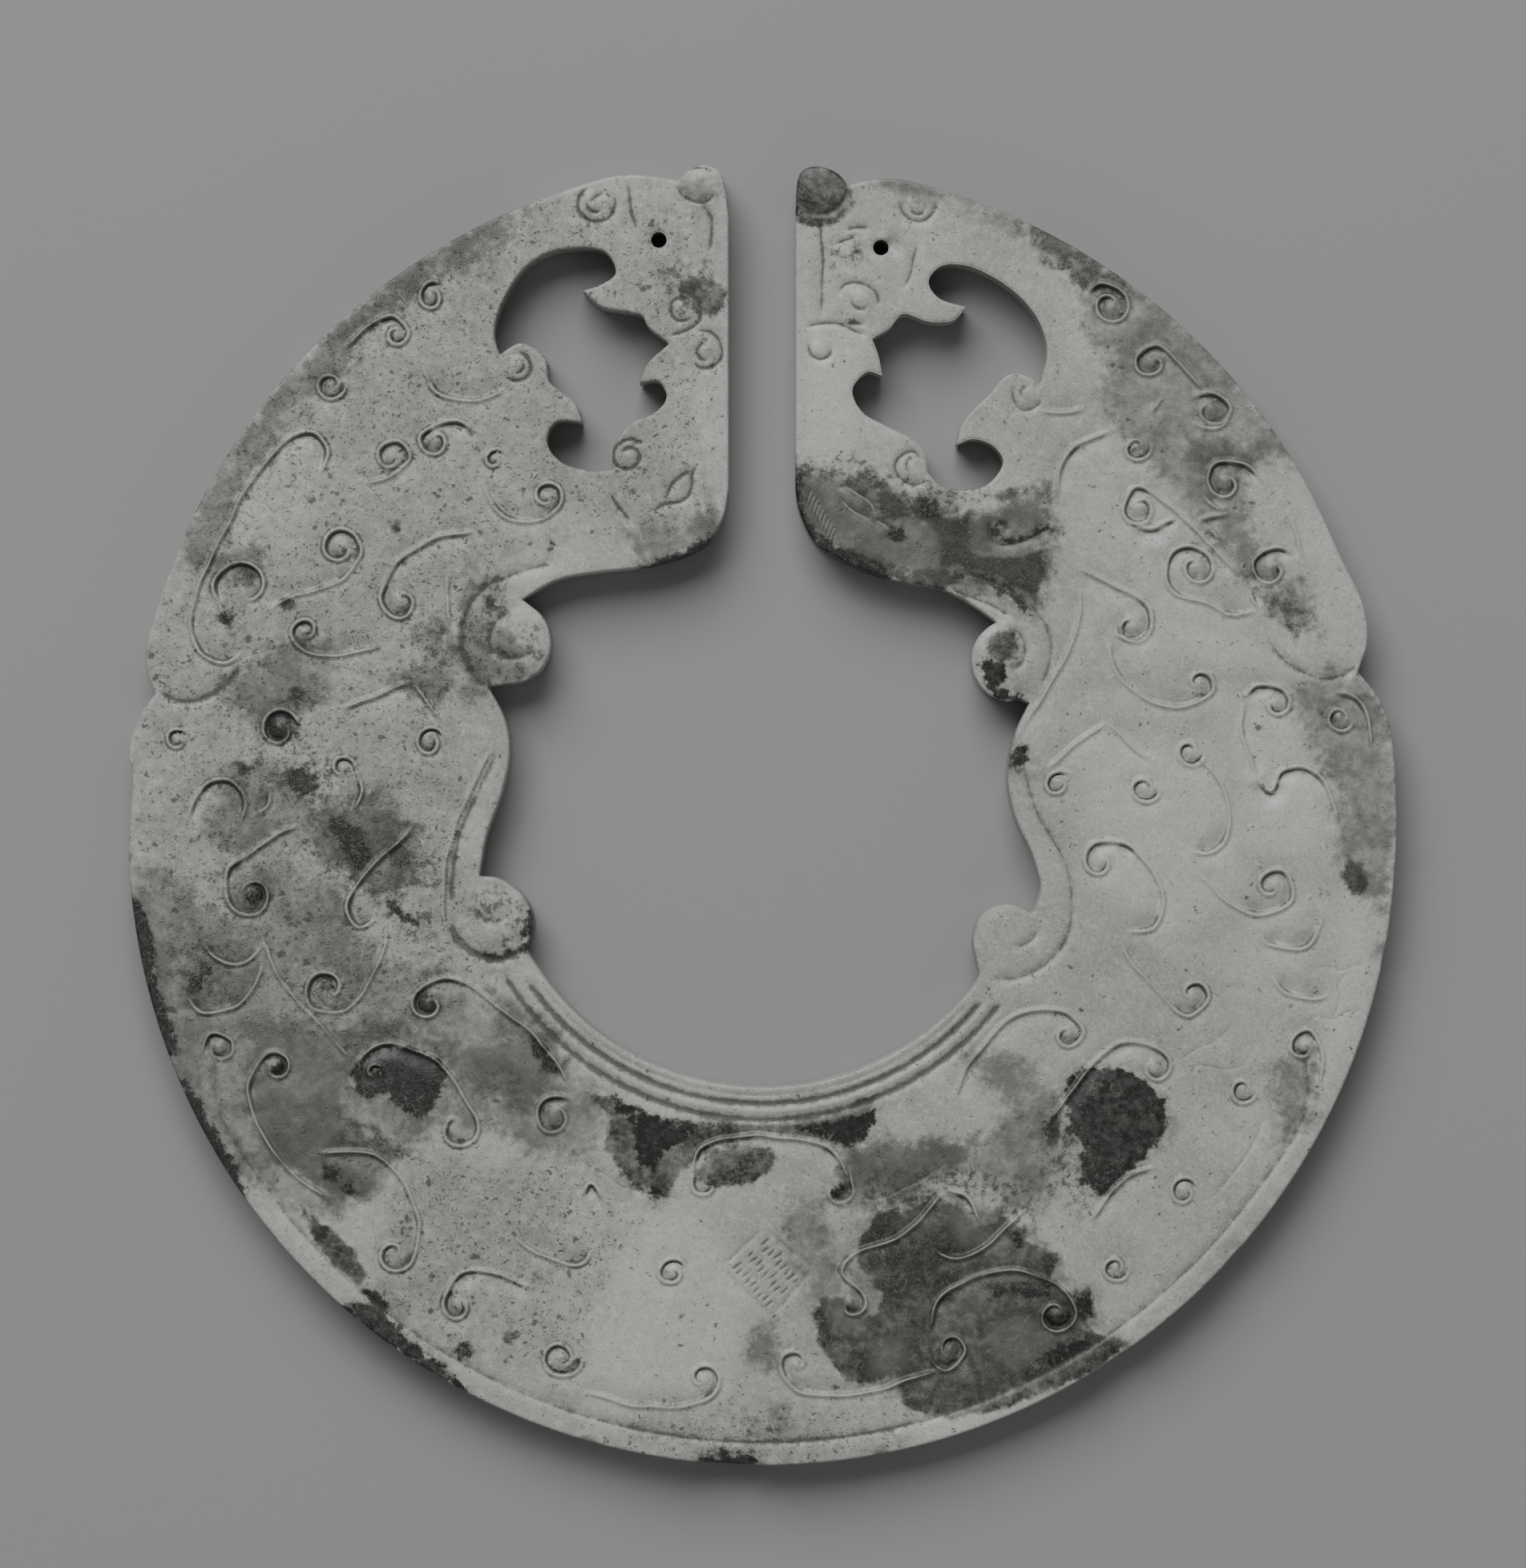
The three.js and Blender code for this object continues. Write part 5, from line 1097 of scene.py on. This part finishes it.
# Flecks and fine dust, and last the pale tops of the threads, partly wear and partly painted
# highlight.
FLECK_STIR, FLECK_STIR_SCALE = 0.0016, 1100.0
stirred = paint.node("TexNoise", {}, {"Vector": place, "Scale": FLECK_STIR_SCALE,
                                      "Detail": 2.0}, "Color")
stirred = paint.node("VectorMath", {"operation": "MULTIPLY_ADD"},
                     {0: stirred, 1: (FLECK_STIR,) * 3, 2: place}, "Vector")


def flecks(scale, size, share):
    """Ragged dark flecks, scattered where the noise lets them, more of them to one side."""
    cell = paint.node("TexVoronoi", {}, {"Vector": stirred, "Scale": scale}, "Distance")
    here = (mottle(scale * 0.45, 2) + thickly * 0.13).step(share, share + 0.04)
    return (1 - cell.step(size * 0.45, size)) * here


specks = flecks(330.0, 0.26, 0.68) * 0.8
specks = paint.maths("MAXIMUM", specks, flecks(760.0, 0.34, 0.63) * 0.75)
specks = paint.maths("MAXIMUM", specks, flecks(1500.0, 0.42, 0.60) * 0.55)
colour = tint(specks, colour, DIRT_AND_SHADE)
dusting = (fine - 0.5 + (grain - 0.5) * 0.9).step(0.0, 0.24)
dusting = dusting * (0.16 + thickly * 0.30 + cloud * 0.22)
colour = tint(dusting, colour, DUST)
# Thread tops and some cut lines made paler: partly wear, partly painted highlight.
worn = field("wear_and_highlight").step(0.25, 0.9) * (0.55 - black * 0.2) * (0.6 + middle * 0.7)
colour = tint(worn, colour, WORN_EDGE_AND_HIGHLIGHT)

relief = fine * 0.6 + middle * 0.6 + grain * 0.15 - specks * 0.6 - dusting * 0.5
BUMP_DEPTH = 0.00016
bump = paint.node("Bump", {}, {"Height": relief, "Strength": 0.85, "Distance": BUMP_DEPTH},
                  "Normal")
shader = paint.node("BsdfPrincipled", {}, {
    "Base Color": colour, "Roughness": 0.42 + dirt_and_shade * 0.2 + specks * 0.2 - black * 0.05,
    "Normal": bump, "Specular IOR Level": 0.3, "IOR": 1.6,
})
paint.node("OutputMaterial", {}, {"Surface": shader}, None)
ring_mesh.materials.append(stone)
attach(ring, "root")
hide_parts("slit_ring")

# The floor: a plain matt sheet that the ring lies on, lit softly from beyond its slit.
floor_mesh = bpy.data.meshes.new("floor")
HALF = 1.5
UNDER_RING = 0.0001
FLOOR_GREY = (0.28, 0.28, 0.28, 1)
floor_mesh.from_pydata([(-HALF, -HALF, 0), (HALF, -HALF, 0), (HALF, HALF, 0), (-HALF, HALF, 0)],
                       [], [(0, 1, 2, 3)])
floor = bpy.data.objects.new("floor", floor_mesh)
floor.location.z = low.z - UNDER_RING
bpy.context.scene.collection.objects.link(floor)
sheet = bpy.data.materials.new("pale_sheet")
sheet.use_nodes = True
sheet_shader = sheet.node_tree.nodes["Principled BSDF"]
sheet_shader.inputs["Base Color"].default_value = FLOOR_GREY
sheet_shader.inputs["Roughness"].default_value = 0.9
floor_mesh.materials.append(sheet)


def lamp(name, place, size, power, toward=(0, 0, 0)):
    """A soft square lamp that looks at a point."""
    light = bpy.data.lights.new(name, "AREA")
    light.size, light.energy = size, power
    bulb = bpy.data.objects.new(name, light)
    bulb.location = place
    bulb.rotation_euler = (Vector(toward) - Vector(place)).to_track_quat("-Z", "Y").to_euler()
    bpy.context.scene.collection.objects.link(bulb)


lamp("key", (-0.42, 1.28, 1.48), 1.5, 46)
lamp("fill", (0.3, -0.8, 0.5), 0.9, 1.4)
world = bpy.data.worlds.new("studio")
world.use_nodes = True
world.node_tree.nodes["Background"].inputs[0].default_value = (1, 1, 1, 1)
world.node_tree.nodes["Background"].inputs[1].default_value = 0.17
bpy.context.scene.world = world

# The camera looks straight down. Its aim is in hundredths of the radius from the ring's centre.
CAMERA_HEIGHT = 1.0
VIEW_WIDTH = 0.2428
AIM = (0.13, 7.51)
camera_data = bpy.data.cameras.new("camera")
camera_data.sensor_fit = "HORIZONTAL"
camera_data.lens = camera_data.sensor_width * CAMERA_HEIGHT / VIEW_WIDTH
camera = bpy.data.objects.new("camera", camera_data)
camera.location = (*metres(AIM), top + CAMERA_HEIGHT)
bpy.context.scene.collection.objects.link(camera)
bpy.context.scene.camera = camera
